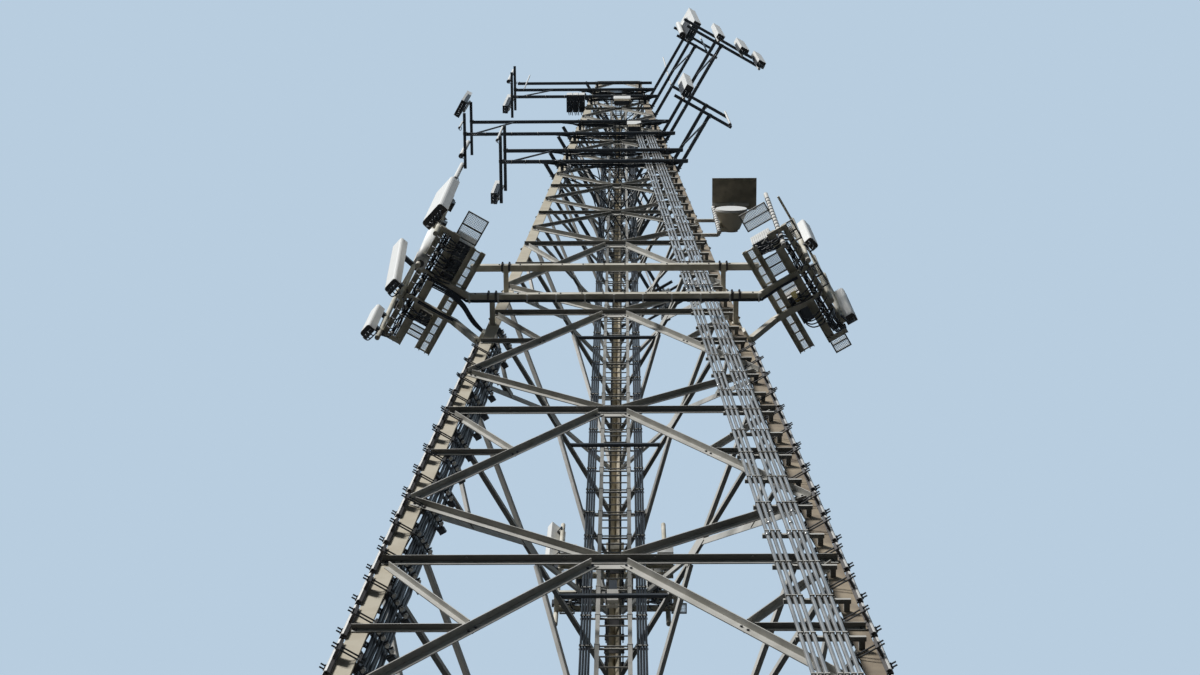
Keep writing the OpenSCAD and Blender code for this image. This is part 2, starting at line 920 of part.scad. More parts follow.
// Radio units that hang under the front arm pipes
module radios_upper() {
    z_top = upper_z(7) + upper_set[0][1];
    z_mid = upper_z(5) + middle_set[0][1] + middle_set[0][2];
    unit = 74;
    color(steel)
        face_frame(0) {
            for (k = [0 : 2])
                translate([-half_at(z_top) - 258 + k * (unit + 6), -150, s_at(z_top) - arm_r - 280 - eps])
                    cube([unit, 220, 280]);
            translate([-60, -104, s_at(z_top) - arm_r - 330 - eps]) cube([220, 66, 330]);
            translate([110, -104, s_at(z_mid) - arm_r - 330 - eps]) cube([165, 66, 330]);
        }
}

leg_rear();
leg_left();
leg_right();
base_plates();
front_face_lower();
front_face_upper();
left_face_lower();
left_face_upper();
right_face_lower();
right_face_upper();
plan_bracing();
ladder();
ladder_brackets();
feed_lines_rear();
feed_lines_left();
feed_line_hangers();
front_conduits();
conduit_brackets();
leg_sleeves_rear();
leg_sleeves_left();
leg_sleeves_right();
cross_beams();
mount_frame_left();
mount_frame_right();
mount_frame_rear();
walkway_left();
walkway_right();
walkway_rear();
antennas_left();
antennas_right();
antennas_rear();
radios_lower();
grating_frames();
dish_antenna();
ice_shield();
dish_pipes();
lower_arms();
middle_arms();
upper_arms();
lower_antennas();
middle_antennas();
upper_antennas();
radios_upper();
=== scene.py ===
import json
import math
import random

import bpy
from mathutils import Matrix, Vector


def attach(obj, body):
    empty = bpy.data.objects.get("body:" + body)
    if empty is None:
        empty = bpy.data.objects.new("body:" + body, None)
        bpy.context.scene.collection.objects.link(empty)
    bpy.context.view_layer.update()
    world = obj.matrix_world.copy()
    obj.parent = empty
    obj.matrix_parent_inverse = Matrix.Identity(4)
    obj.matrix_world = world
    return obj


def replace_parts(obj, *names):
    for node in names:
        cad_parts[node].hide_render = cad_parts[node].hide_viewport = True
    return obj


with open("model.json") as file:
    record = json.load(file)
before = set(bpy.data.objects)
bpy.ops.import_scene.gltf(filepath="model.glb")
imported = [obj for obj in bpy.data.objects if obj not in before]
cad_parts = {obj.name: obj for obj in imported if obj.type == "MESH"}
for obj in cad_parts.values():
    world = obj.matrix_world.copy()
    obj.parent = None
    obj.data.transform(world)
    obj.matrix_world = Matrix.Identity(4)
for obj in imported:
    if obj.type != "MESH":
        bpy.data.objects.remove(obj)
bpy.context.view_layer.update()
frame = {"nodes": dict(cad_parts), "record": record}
nodes = frame["nodes"]
chance = random.Random(7)

# Camera fitted to the photograph, in metres at model scale
CAM_AT = Vector((0.0797, -5.7960, 0.8))
CAM_PITCH = 1.3361
CAM_YAW = -0.0486
CAM_ROLL = -0.0424
CAM_FOCAL_PX = 2259.9
FRAME_W = 1200.0
SENSOR_W = 36.0
CLIP_END = 200.0

# Studio: the sky's strength rises from below to above, and the backdrop is what a camera sees
FLOOR_SIZE = 6.4
SUN_POWER = 3.5
SUN_ANGLE = 0.25
SUN_TILT = 50.0
SUN_TURN = -38.0
SKY_BELOW = 0.15
SKY_ABOVE = 0.66
SKY_RISE = (-0.15, 0.4)
BACKDROP = (0.48, 0.61, 0.74, 1.0)

# Surfaces: the blur of a stain's edge, the fine grain, and the painted shade on what faces down
STAIN_BLUR = 0.15
GRAIN_FINER = 14.0
GRAIN_DEPTH = 0.002
# The colour of the painted shade, and the normal heights over which it comes in on what faces down
PAINTED_SHADE = (0.055, 0.050, 0.042, 1.0)
SHADE_FACING = (-0.45, -0.9)

# The tower's sizes as in the part's source, in millimetres
MM = 0.001
BASE_W = 2925
TOP_W = 626
FIRST_H = 2236
BAY_H = 2868
UPPER_H = 1664
BAYS = 6
UPPER_BAYS = 8
LEG_FLANGE = 88
LEG_T = 10

# Bracing: a falling diagonal meets the leg LEG_PART of a bay below its level
GIRT_FACE = 46
DIAG_FACE = 44
UPPER_SLIM = 10
ANGLE_T = 5
GUSSET_W = 200
UPPER_GUSSET = 0.6
LEG_PART = 0.65
EDGE = 14

# Ladder, feed lines and conduits
LADDER_W = 170
LADDER_GAP = 370
RUNG_PITCH = 152.4
FIRST_RUNG = 424
RAIL = 26
LINE_X = 145
FEED_R = 7.5
FEED_PITCH = 16.5
CONDUIT_R = 9
CONDUIT_IN = 230
CONDUIT_PLACES = (-93, -66, -39, 12, 39, 66, 93)
STAND = 38
BAR_T = 20
# Feed lines inside the left face, each as x, y and radius beside the leg
FEED_LEFT = ((-222, 20, 7.5), (-206, 21, 8), (-188, 20, 7.5), (-172, 22, 8), (-164, 38, 5.5),
             (-154, 20, 8), (-136, 21, 7.5), (-118, 20, 8))

# Front beams and lower mounts; radios are given as first x, last x and height
TUBE = 44
BEAM_OFF = 195
BEAM_OVER = (138, 225)
LOW_RISE = 1120
WALK_L = 836
WALK_Y = (265, 342)
CHANNEL_L = 900
CHANNEL_Y = 490
OUTER_Y = CHANNEL_Y + 105
PIPE_R = 18
MAST_R = PIPE_R - 1
DECK = TUBE * 1.5 + 34
DECK_Y = (WALK_Y[1] - 6, CHANNEL_Y - 6)
PIPE_Y = OUTER_Y + 20 + PIPE_R - 4
LEFT_PIPES = (-424, -165, 91, 425)
RIGHT_PIPES = (-300, -140, 190)
REAR_PIPES = (-436, -20, 380)
LEFT_RADIOS = ((-415, -300, 300), (-285, -185, 250), (-168, -78, 250), (150, 250, 220))
RIGHT_RADIOS = ((330, 430, 260), (-95, -30, 200))
REAR_RADIOS = ((-290, -200, 250), (-50, 50, 250), (230, 330, 250))
DISH_X = 995
DISH_Y = -216
DISH_OVER = 550
DISH_MAST = (878, -80)
END_PIPE = (370, CHANNEL_Y + 30 + MAST_R)

# Booms at the top
ARM_OFF = 100
ARM_R = 20
BOOM_ENDS = {"lower": 1200, "middle": 1730, "upper": 1380}
BOOM_LEVELS = {"lower": 3, "middle": 5, "upper": 7}
BOOM_PIPE_R = 14
BOOM_PANEL_OUT = ARM_R - 3 + BOOM_PIPE_R
UPPER_FRONT = -1022
MIDDLE_FRONT = -1564
LOWER_FRONT = -546
MIDDLE_RISE = 1140
FRONT_BOOMS = (("upper", UPPER_FRONT), ("upper", -182), ("middle", MIDDLE_FRONT + MIDDLE_RISE),
               ("middle", MIDDLE_FRONT), ("lower", 314), ("lower", LOWER_FRONT))

# Small parts that come in many places
BOLT_R = 6.5
STUD_R = 4.5
JUMPER_R = 4.2
FEEDER_R = 5.5
TRUNK_R = 6

# What follows from the sizes; LOW_Z is the height of the lower mounts
ROOT3 = math.sqrt(3)
SPLIT_H = FIRST_H + BAYS * BAY_H
TOWER_H = SPLIT_H + UPPER_BAYS * UPPER_H
SLOPE = (BASE_W - TOP_W) / TOWER_H
FACE_OFF = BASE_W / (2 * ROOT3)
FACE_LEAN = math.atan(SLOPE / (2 * ROOT3))
LEG_LEAN = math.atan(SLOPE / ROOT3)
LEG_IN_FACE = math.atan(SLOPE / 2 * math.cos(FACE_LEAN))
LOW_Z = FIRST_H + 5 * BAY_H - 336
SLEEVE_PITCH = BAY_H / 6.5
SLEEVE_H = SLEEVE_PITCH * 0.86
SLEEVES = 35

# Turns of the faces and of the legs about the axis, in degrees
FRONT, RIGHT, LEFT = 0, 120, -120
LEG_TURNS = {"rear": 0, "left": 120, "right": -120}


def half_at(z):
    """Half the width of a face at a height."""
    return (BASE_W - SLOPE * z) / 2


def s_at(z):
    """The distance up a leaning face that belongs to a height."""
    return z / math.cos(FACE_LEAN)


def girt_z(k):
    return FIRST_H + k * BAY_H


def upper_z(k):
    return SPLIT_H + k * UPPER_H


def boom_z(place, over):
    """A height given over the level that carries a set of booms."""
    return upper_z(BOOM_LEVELS[place]) + over


def move(x, y, z):
    return Matrix.Translation((x, y, z))


def spin(angle, axis):
    return Matrix.Rotation(angle, 4, axis)


def spots(at, *points):
    """Points given in a frame, as ones in the tower's own frame."""
    return [at @ Vector(p) for p in points]


def stray(size):
    """A random shift, at most half the size either way."""
    return size * (chance.random() - 0.5)


AXIS = move(0, -BASE_W / ROOT3, 0)
HERE = Matrix.Identity(4)


def face_frame(turn):
    """x across a face, z up the face, -y outward."""
    return AXIS @ spin(math.radians(turn), "Z") @ move(0, -FACE_OFF, 0) @ spin(-FACE_LEAN, "X")


def leg_line(turn, side):
    """z along one leg corner, x and y as in the face."""
    corner = move(side * BASE_W / 2, 0, 0)
    return face_frame(turn) @ corner @ spin(-side * LEG_IN_FACE, "Y")


def leg_frame(leg):
    """x tangential, +y outward, z along the leg."""
    corner = move(0, BASE_W / ROOT3, 0)
    return AXIS @ spin(math.radians(LEG_TURNS[leg]), "Z") @ corner @ spin(LEG_LEAN, "X")


def mount_at(leg):
    """x tangential, +y outward from the leg corner at the lower mounts, z up."""
    corner = move(0, (BASE_W - SLOPE * LOW_Z) / ROOT3, LOW_Z)
    return AXIS @ spin(math.radians(LEG_TURNS[leg]), "Z") @ corner


def feed(tree, node, inputs):
    """Gives a node's inputs their values, or the outputs that feed them."""
    for name, value in inputs.items():
        if isinstance(value, bpy.types.NodeSocket):
            tree.links.new(value, node.inputs[name])
        else:
            node.inputs[name].default_value = value


def add_node(tree, kind, inputs):
    node = tree.nodes.new("ShaderNode" + kind)
    feed(tree, node, inputs)
    return node


def ramp(tree, value, start, end, low=0.0, high=1.0):
    """A value that goes from low to high as the given one goes from start to end."""
    return add_node(tree, "MapRange", {"Value": value, "From Min": start, "From Max": end,
                                       "To Min": low, "To Max": high}).outputs["Result"]


def mix_colours(tree, factor, a, b):
    mix = tree.nodes.new("ShaderNodeMix")
    mix.data_type = "RGBA"
    feed(tree, mix, {"Factor": factor, "A": a, "B": b})
    return mix.outputs["Result"]


def add_painted_shade(tree, colour, amount):
    """Paints shade on what faces down: darkens the colour as the normal turns downward."""
    facing = tree.nodes.new("ShaderNodeNewGeometry")
    split = add_node(tree, "SeparateXYZ", {"Vector": facing.outputs["Normal"]})
    share = ramp(tree, split.outputs["Z"], *SHADE_FACING, 0.0, amount)
    return mix_colours(tree, share, colour, PAINTED_SHADE)


def make_material(name, colour, stain, rough=0.6, metal=0.0, scale=6.0, cover=0.5, grain=0.08,
                  shine=0.3, underside_shade=0.0):
    """A surface with large soft stains and a fine grain, and painted shade on what faces down."""
    mat = bpy.data.materials.new(name)
    mat.use_nodes = True
    tree = mat.node_tree
    place = tree.nodes.new("ShaderNodeTexCoord").outputs["Object"]
    large = add_node(tree, "TexNoise", {"Vector": place, "Scale": scale, "Detail": 7.0})
    share = ramp(tree, large.outputs["Fac"], cover - STAIN_BLUR, cover + STAIN_BLUR)
    paint = mix_colours(tree, share, (*colour, 1.0), (*stain, 1.0))
    # Painted shade: darker colour on what faces down
    if underside_shade:
        paint = add_painted_shade(tree, paint, underside_shade)
    surface = {"Base Color": paint, "Roughness": rough, "Metallic": metal,
               "Specular IOR Level": shine}
    if grain:
        fine = add_node(tree, "TexNoise", {"Vector": place, "Scale": scale * GRAIN_FINER,
                                           "Detail": 4.0})
        bump = add_node(tree, "Bump", {"Height": fine.outputs["Fac"], "Strength": grain,
                                       "Distance": GRAIN_DEPTH})
        surface["Normal"] = bump.outputs["Normal"]
    feed(tree, tree.nodes["Principled BSDF"], surface)
    return mat


# Colour, stain, roughness and what else sets a surface apart, for each material slot and
# then for pieces with a tone of their own; the right leg's darker copy of the leg steel is painted
# shade
SURFACES = {
    "leg_steel": ((0.66, 0.60, 0.47), (0.53, 0.46, 0.34), 0.75, {"cover": 0.58}),
    "sleeve_steel": ((0.085, 0.072, 0.064), (0.050, 0.042, 0.038), 0.7, {}),
    "antenna_shell": ((0.92, 0.915, 0.875), (0.87, 0.86, 0.81), 0.5,
                      {"cover": 0.62, "grain": 0.02}),
    "cable_jacket": ((0.014, 0.015, 0.018), (0.024, 0.025, 0.028), 0.32,
                     {"grain": 0.0, "shine": 0.14}),
    "conduit_jacket": ((0.40, 0.385, 0.36), (0.25, 0.24, 0.225), 0.26,
                       {"metal": 0.45, "grain": 0.0}),
    "dark_steel": ((0.024, 0.025, 0.028), (0.042, 0.040, 0.038), 0.45,
                   {"cover": 0.6, "grain": 0.0, "shine": 0.25}),
    # Galvanized steel gets painted shade on what faces down
    "galvanized_steel": ((0.63, 0.615, 0.565), (0.45, 0.435, 0.385), 0.6,
                         {"cover": 0.56, "underside_shade": 0.8}),
    "radio_shell": ((0.66, 0.66, 0.63), (0.50, 0.49, 0.45), 0.55, {"cover": 0.6}),
    "mast_paint": ((0.80, 0.77, 0.70), (0.62, 0.58, 0.50), 0.5, {"cover": 0.62}),
    "brown_steel": ((0.62, 0.56, 0.44), (0.36, 0.32, 0.24), 0.8, {"scale": 9.0}),
    "mount_steel": ((0.80, 0.76, 0.65), (0.50, 0.46, 0.35), 0.65, {"cover": 0.54}),
    "dish_paint": ((0.66, 0.59, 0.46), (0.52, 0.45, 0.34), 0.6, {"cover": 0.6}),
    "brass_fittings": ((0.62, 0.48, 0.20), (0.42, 0.32, 0.14), 0.4, {"metal": 0.6}),
    # A darker, browner copy of the leg steel that paints the shade on the right leg
    "shaded_right_leg_steel": ((0.46, 0.38, 0.27), (0.24, 0.19, 0.14), 0.75, {}),
}
MATERIALS = {name: make_material(name, colour, stain, rough, **more)
             for name, (colour, stain, rough, more) in SURFACES.items()}
TONES = {"dish_antenna": "dish_paint", "cross_beams": "mount_steel",
         "leg_right": "shaded_right_leg_steel"}
for leg in LEG_TURNS:
    TONES["mount_frame_" + leg] = "mount_steel"
    TONES["walkway_" + leg] = "mount_steel"
slots = {row["node"]: row["material_slot"] for row in frame["record"]["subparts"]}
for name, obj in nodes.items():
    obj.data.materials.clear()
    obj.data.materials.append(MATERIALS[TONES.get(name, slots[name])])


def curve(points, steps):
    """A smooth path through the points."""
    points = [Vector(p) for p in points]
    around = [2 * points[0] - points[1]] + points + [2 * points[-1] - points[-2]]
    path = []
    for a, b, c, d in zip(around, around[1:], around[2:], around[3:]):
        for k in range(steps):
            t = k / steps
            path.append(0.5 * (2 * b + (c - a) * t + (2 * a - 5 * b + 4 * c - d) * t * t
                               + (3 * b - a - 3 * c + d) * t ** 3))
    return path + [points[-1]]


class Shape:
    """Gathers many small solids, given in millimetres, into one joined piece."""

    def __init__(self, name, slot, tone=None):
        self.name, self.slot = name, slot
        self.material = MATERIALS[tone or slot]
        self.points, self.faces, self.smooth = [], [], []

    def add(self, at, points, faces, smooth=False):
        first = len(self.points)
        self.points += [(at @ Vector(p)) * MM for p in points]
        self.faces += [[first + i for i in face] for face in faces]
        self.smooth += [smooth and len(face) == 4 for face in faces]

    def box(self, at, low, high):
        (x0, y0, z0), (x1, y1, z1) = low, high
        outline = ((x0, y0), (x1, y0), (x1, y1), (x0, y1))
        self.prism(at, outline, z0, z1)

    def prism(self, at, outline, z0, z1):
        n = len(outline)
        points = [(x, y, z0) for x, y in outline] + [(x, y, z1) for x, y in outline]
        faces = [tuple(reversed(range(n))), tuple(range(n, 2 * n))]
        faces += [(i, (i + 1) % n, (i + 1) % n + n, i + n) for i in range(n)]
        self.add(at, points, faces)

    def tube(self, at, path, r, sides=6):
        """A round bar along a path; more than six sides are shaded smooth."""
        path = [Vector(p) for p in path]
        rings, n = [], len(path)
        side = Vector((1, 0, 0))
        for i, p in enumerate(path):
            ahead = (path[min(i + 1, n - 1)] - path[max(i - 1, 0)]).normalized()
            side = side - ahead * side.dot(ahead)
            if side.length < 0.05:
                side = ahead.orthogonal()
            side.normalize()
            up = ahead.cross(side)
            for k in range(sides):
                a = 2 * math.pi * k / sides
                rings.append(p + r * (math.cos(a) * side + math.sin(a) * up))
        faces = [tuple(reversed(range(sides))), tuple(range((n - 1) * sides, n * sides))]
        for i in range(n - 1):
            for k in range(sides):
                a, b = i * sides + k, i * sides + (k + 1) % sides
                faces.append((a, b, b + sides, a + sides))
        self.add(at, rings, faces, sides > 6)

    def post(self, at, x, y, z0, z1, r, sides=6):
        """An upright rod."""
        self.tube(at, ((x, y, z0), (x, y, z1)), r, sides)

    def pin(self, at, x, y0, y1, z, r, sides=6):
        """A rod along y."""
        self.tube(at, ((x, y0, z), (x, y1, z)), r, sides)

    def cable(self, at, points, r, steps=6):
        self.tube(at, curve(points, steps), r, 8)

    def done(self):
        mesh = bpy.data.meshes.new(self.name)
        mesh.from_pydata(self.points, [], self.faces)
        mesh.polygons.foreach_set("use_smooth", self.smooth)
        mesh.materials.append(self.material)
        mesh.update()
        obj = bpy.data.objects.new(self.name, mesh)
        bpy.context.collection.objects.link(obj)
        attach(obj, "root")
        return obj


def build(*shapes):
    for shape in shapes:
        shape.done()


def sleeve_clamps():
    """Ears, threaded rods and inner bars that hold each sleeve piece to its leg, and white strips
    along its chamfered edges that paint a highlight.
    """
    ears = Shape("sleeve_clamp_ears", "sleeve_steel")
    rods = Shape("sleeve_clamp_rods", "dark_steel")
    washers = Shape("sleeve_clamp_washers", "galvanized_steel")
    highlight_strips = Shape("sleeve_edge_highlights", "antenna_shell")
    first, tall, ear_end, rod_x, rod_gap = 120, 40, 63, 54, 19
    inner = -LEG_FLANGE * math.cos(math.radians(30)) - 10
    # Outline of the white strip on each chamfered edge of a sleeve piece: a painted highlight
    highlight_outline = ((16, 14), (17.5, 16), (11, 23), (9, 21))
    for leg in LEG_TURNS:
        at = leg_frame(leg)
        for k in range(SLEEVES):
            low = first + k * SLEEVE_PITCH
            z = low + SLEEVE_H * 0.5
            for side in (-1, 1):
                edge = [(side * x, y) for x, y in highlight_outline]
                highlight_strips.prism(at, edge if side > 0 else edge[::-1], low + 2, low + SLEEVE_H - 2)
                x0, x1 = sorted((side * 15, side * ear_end))
                ears.box(at, (x0, 5, z - tall), (x1, 17, z + tall))
                x0, x1 = sorted((side * 40, side * ear_end))
                ears.box(at, (x0, inner - 6, z - tall), (x1, inner + 2, z + tall))
                x = side * rod_x
                for dz in (-rod_gap, rod_gap):
                    rods.pin(at, x, 44, inner - 22, z + dz, 4)
                    for y in (17, inner - 14, inner - 22):
                        rods.pin(at, x, y, y + 7, z + dz, 8)
                    washers.pin(at, x, inner + 2, inner + 5, z + dz, 11)
            ears.box(at, (-62, inner - 4, z - tall), (62, inner, z + tall))
    build(ears, rods, washers, highlight_strips)


def level_diagonals(z, z_down, z_up, plate, girt, diag):
    """The right-hand diagonals of one level, as pairs of (x, s) points."""
    off = girt / 2 + diag / 2
    x0 = plate / 2 - diag * 0.7

    def leg_end(height, rise):
        return half_at(height) - EDGE - diag / 2, s_at(height) + rise

    lines = [((x0, s_at(z) - off), leg_end(z_down, diag * 0.6))]
    if z_up > z:
        lines.append(((x0, s_at(z) + off), leg_end(z_up, -diag * 0.6)))
    return lines


def face_bolts(name, turn):
    """Bolt heads at both ends of each bracing bar of one face."""
    dark = Shape(name + "_bolts", "dark_steel")
    bright = Shape(name + "_girt_bolts", "galvanized_steel")
    at = face_frame(turn)

    def bolt(x, s):
        dark.pin(at, x, -ANGLE_T + 1, -ANGLE_T - 6, s, BOLT_R)

    rows = []
    for k in range(BAYS + 1):
        z = girt_z(k)
        up = z + (1 - LEG_PART) * BAY_H if k < BAYS else z + UPPER_H / 2
        rows.append((z, z - LEG_PART * BAY_H, up, GUSSET_W, GIRT_FACE, DIAG_FACE))
    for k in range(1, UPPER_BAYS + 1):
        z = upper_z(k) - (GIRT_FACE if k == UPPER_BAYS else 0)
        up = z + UPPER_H / 2 if k < UPPER_BAYS else 0
        rows.append((z, upper_z(k) - UPPER_H / 2, up, GUSSET_W * UPPER_GUSSET,
                     GIRT_FACE - UPPER_SLIM, DIAG_FACE - UPPER_SLIM))
    for z, down, up, plate, girt, diag in rows:
        for start, end in level_diagonals(z, down, up, plate, girt, diag):
            start, end = Vector(start), Vector(end)
            step = (end - start).normalized()
            for side in (-1, 1):
                for p in (start + step * 18, start + step * 62, end - step * 14, end - step * 56):
                    bolt(side * p.x, p.y)
        under = s_at(z) + girt / 2 - ANGLE_T
        for side in (-1, 1):
            a = half_at(z) - EDGE
            bolt(side * (a - 22), s_at(z))
            bolt(side * (a - 58), s_at(z))
            for x in (plate / 2 + 112, half_at(z) * 0.62):
                bright.post(at, side * x, -22, under, under - 8, 6)
    for k in range(BAYS + 1):
        z = girt_z(k)
        z_low = z - LEG_PART / 2 * BAY_H
        (start, end), = level_diagonals(z, z - LEG_PART * BAY_H, 0, GUSSET_W, GIRT_FACE, DIAG_FACE)
        start, end = Vector(start), Vector(end)
        step = (end - start).normalized()
        mid = start + step * ((start.y - s_at(z_low)) / -step.y)
        for side in (-1, 1):
            for d in (-30, 22):
                p = mid + step * d
                bolt(side * p.x, p.y)
            bolt(side * (half_at(z_low) - EDGE - 20), s_at(z_low))
            bolt(side * (mid.x + 60), s_at(z_low))
    build(dark, bright)


def conduit_clamps():
    """A saddle round each conduit on each of its brackets, and a coupling here and there."""
    saddles = Shape("conduit_clamps", "galvanized_steel")
    joints = Shape("conduit_couplings", "conduit_jacket")
    at, line = face_frame(FRONT), leg_line(FRONT, 1)
    back = -STAND - BAR_T
    rows = [FIRST_H + BAY_H * (k / 6 - 0.413) for k in range(6 * BAYS + 3)]
    rows += [SPLIT_H + UPPER_H * (k + 0.5) / 4 for k in range(17)]
    for z in rows:
        s = s_at(z) + 10
        for x in CONDUIT_PLACES:
            x += half_at(z) - CONDUIT_IN
            saddles.box(at, (x - CONDUIT_R - 2, back - 2 * CONDUIT_R - 2.5, s - 5),
                        (x + CONDUIT_R + 2, back + 0.3, s + 5))
            saddles.pin(at, x + CONDUIT_R + 3.5, back + 1, back - 9, s, STUD_R)
    first, pitch, stagger, tall = 1900, 3050, 190, 60
    for i, x in enumerate(CONDUIT_PLACES):
        for k in range(8):
            s = first + k * pitch + stagger * (i % 3)
            joints.post(line, x - CONDUIT_IN, back - CONDUIT_R, s, s + tall, CONDUIT_R + 2.2, 12)
    build(saddles, joints)


def feed_clamps():
    """Clamp bars over the feed lines, beside the ladder and inside the left face."""
    bars = Shape("feed_clamp_bars", "dark_steel")
    caps = Shape("feed_clamp_caps", "galvanized_steel")
    fittings = Shape("feed_clamp_fittings", "antenna_shell")
    line = leg_line(LEFT, 1)
    front = LEG_T + 12 + 2 * FEED_R
    lifts = (7, -6, 3, -2)
    for k in range(34):
        z = FIRST_H * 0.25 + k * BAY_H / 6 + 10
        bars.box(line, (-236, front - 0.3, z - 9), (-100, front + 6, z + 9))
        bars.box(line, (-250, LEG_T + 2, z - 5), (-228, front + 14, z + 5))
        for i, x in enumerate((-224, -188, -152, -116)):
            dz = lifts[(i + k) % 4]
            fittings.post(line, x, front + 14, z + dz - 13, z + dz + 13, 10, 12)
            bars.pin(line, x + 16, front + 5, front + 30, z, STUD_R)
        for x in (-258, -92):
            bars.box(line, (x - 15, LEG_T + 6, z - 13), (x + 15, front + 16, z + 13))
    ladder = leg_frame("rear")
    rungs = int((TOWER_H - FIRST_RUNG - 150) / RUNG_PITCH)
    face = -LADDER_GAP - 2 * FEED_R
    for k in range(1, rungs - 2, 3):
        z = FIRST_RUNG + k * RUNG_PITCH
        for side in (-1, 1):
            ends = side * (LINE_X - 11), side * (LINE_X + 3 * FEED_PITCH + 11)
            caps.box(ladder, (min(ends), face - 5, z - 6), (max(ends), face + 0.3, z + 6))
            for x in (LINE_X - 3, LINE_X + 28, LINE_X + 54):
                bars.pin(ladder, side * x, face - 13, face - 4, z, STUD_R)
            x = side * (LADDER_W / 2 + RAIL / 2)
            caps.box(ladder, (x - 17, -LADDER_GAP - RAIL - 3, z - 7),
                     (x + 17, -LADDER_GAP + 0.3, z + 7))
    build(bars, caps, fittings)


def left_feed_lines():
    """The black feed lines inside the left face, slack between their clamps."""
    lines = Shape("left_feed_cables", "cable_jacket")
    line = leg_line(LEFT, 1)
    step = BAY_H / 18
    for x, y, r in FEED_LEFT:
        path = []
        for k in range(int((LOW_Z - 220) / step)):
            slack = 0 if k % 3 == 0 else 4
            path.append((x + stray(2 * slack), y + stray(slack), 260 + k * step))
        lines.tube(line, path, r, 8)
    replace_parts(lines.done(), "feed_lines_left")


def mesh_panel(shape, at, x0, x1, y0, y1, z, pitch, wire, tall=6):
    """Crossing bars of a grating."""
    across = max(2, round((x1 - x0) / pitch))
    along = max(2, round((y1 - y0) / pitch))
    for k in range(1, across):
        x = x0 + k * (x1 - x0) / across
        shape.box(at, (x - wire / 2, y0, z), (x + wire / 2, y1, z + tall))
    for k in range(1, along):
        y = y0 + k * (y1 - y0) / along
        shape.box(at, (x0, y - wire / 2, z + 0.6), (x1, y + wire / 2, z + tall - 0.6))


def gratings():
    """The mesh in the rims of the gratings and between the sides of the walkways."""
    mesh = Shape("grating_mesh", "mast_paint")
    outer = (OUTER_Y - 10, OUTER_Y + 70)
    half = CHANNEL_L / 2
    panels = {
        "right": ((-20, 80, *DECK_Y), (150, 300, *DECK_Y), (-86, 92, *outer), (298, half, *outer),
                  (-half - 100, -half + 20, CHANNEL_Y - 24, OUTER_Y - 4)),
        "left": ((-half - 180, -half + 20, DECK_Y[0], DECK_Y[1] + 16), (270, 360, *DECK_Y)),
        "rear": [(REAR_PIPES[k] + PIPE_R + 6, REAR_PIPES[k] + PIPE_R + 118,
                  OUTER_Y - 30, OUTER_Y + 50) for k in (0, 2)],
    }
    for leg, rows in panels.items():
        for x0, x1, y0, y1 in rows:
            mesh_panel(mesh, mount_at(leg), x0 + 5, x1 - 5, y0 + 5, y1 - 5, DECK + 2, 11, 2.6)
    x, y = END_PIPE
    mesh_panel(mesh, mount_at("right"), x - 67, x + 67, 305, y - MAST_R - 5,
               LOW_RISE + 142, 11, 3.2)
    mesh.done()
    walks = Shape("walkway_mesh", "mast_paint")
    for leg in LEG_TURNS:
        mesh_panel(walks, mount_at(leg), -WALK_L / 2 + 4, WALK_L / 2 - 4,
                   WALK_Y[0] + 12, WALK_Y[1] - 12, DECK - 8, 9, 2.2, 3)
    walks.done()


def rounded(w, d, r, steps=3):
    """The outline of a radome: flat back, rounded front corners, x across, y outward."""
    points = [(-w / 2, 0), (w / 2, 0)]
    for k in range(steps + 1):
        a = math.pi / 2 * k / steps
        points.append((w / 2 - r + r * math.cos(a), d - r + r * math.sin(a)))
    for k in range(steps + 1):
        a = math.pi / 2 * (1 + k / steps)
        points.append((-w / 2 + r + r * math.cos(a), d - r + r * math.sin(a)))
    return points


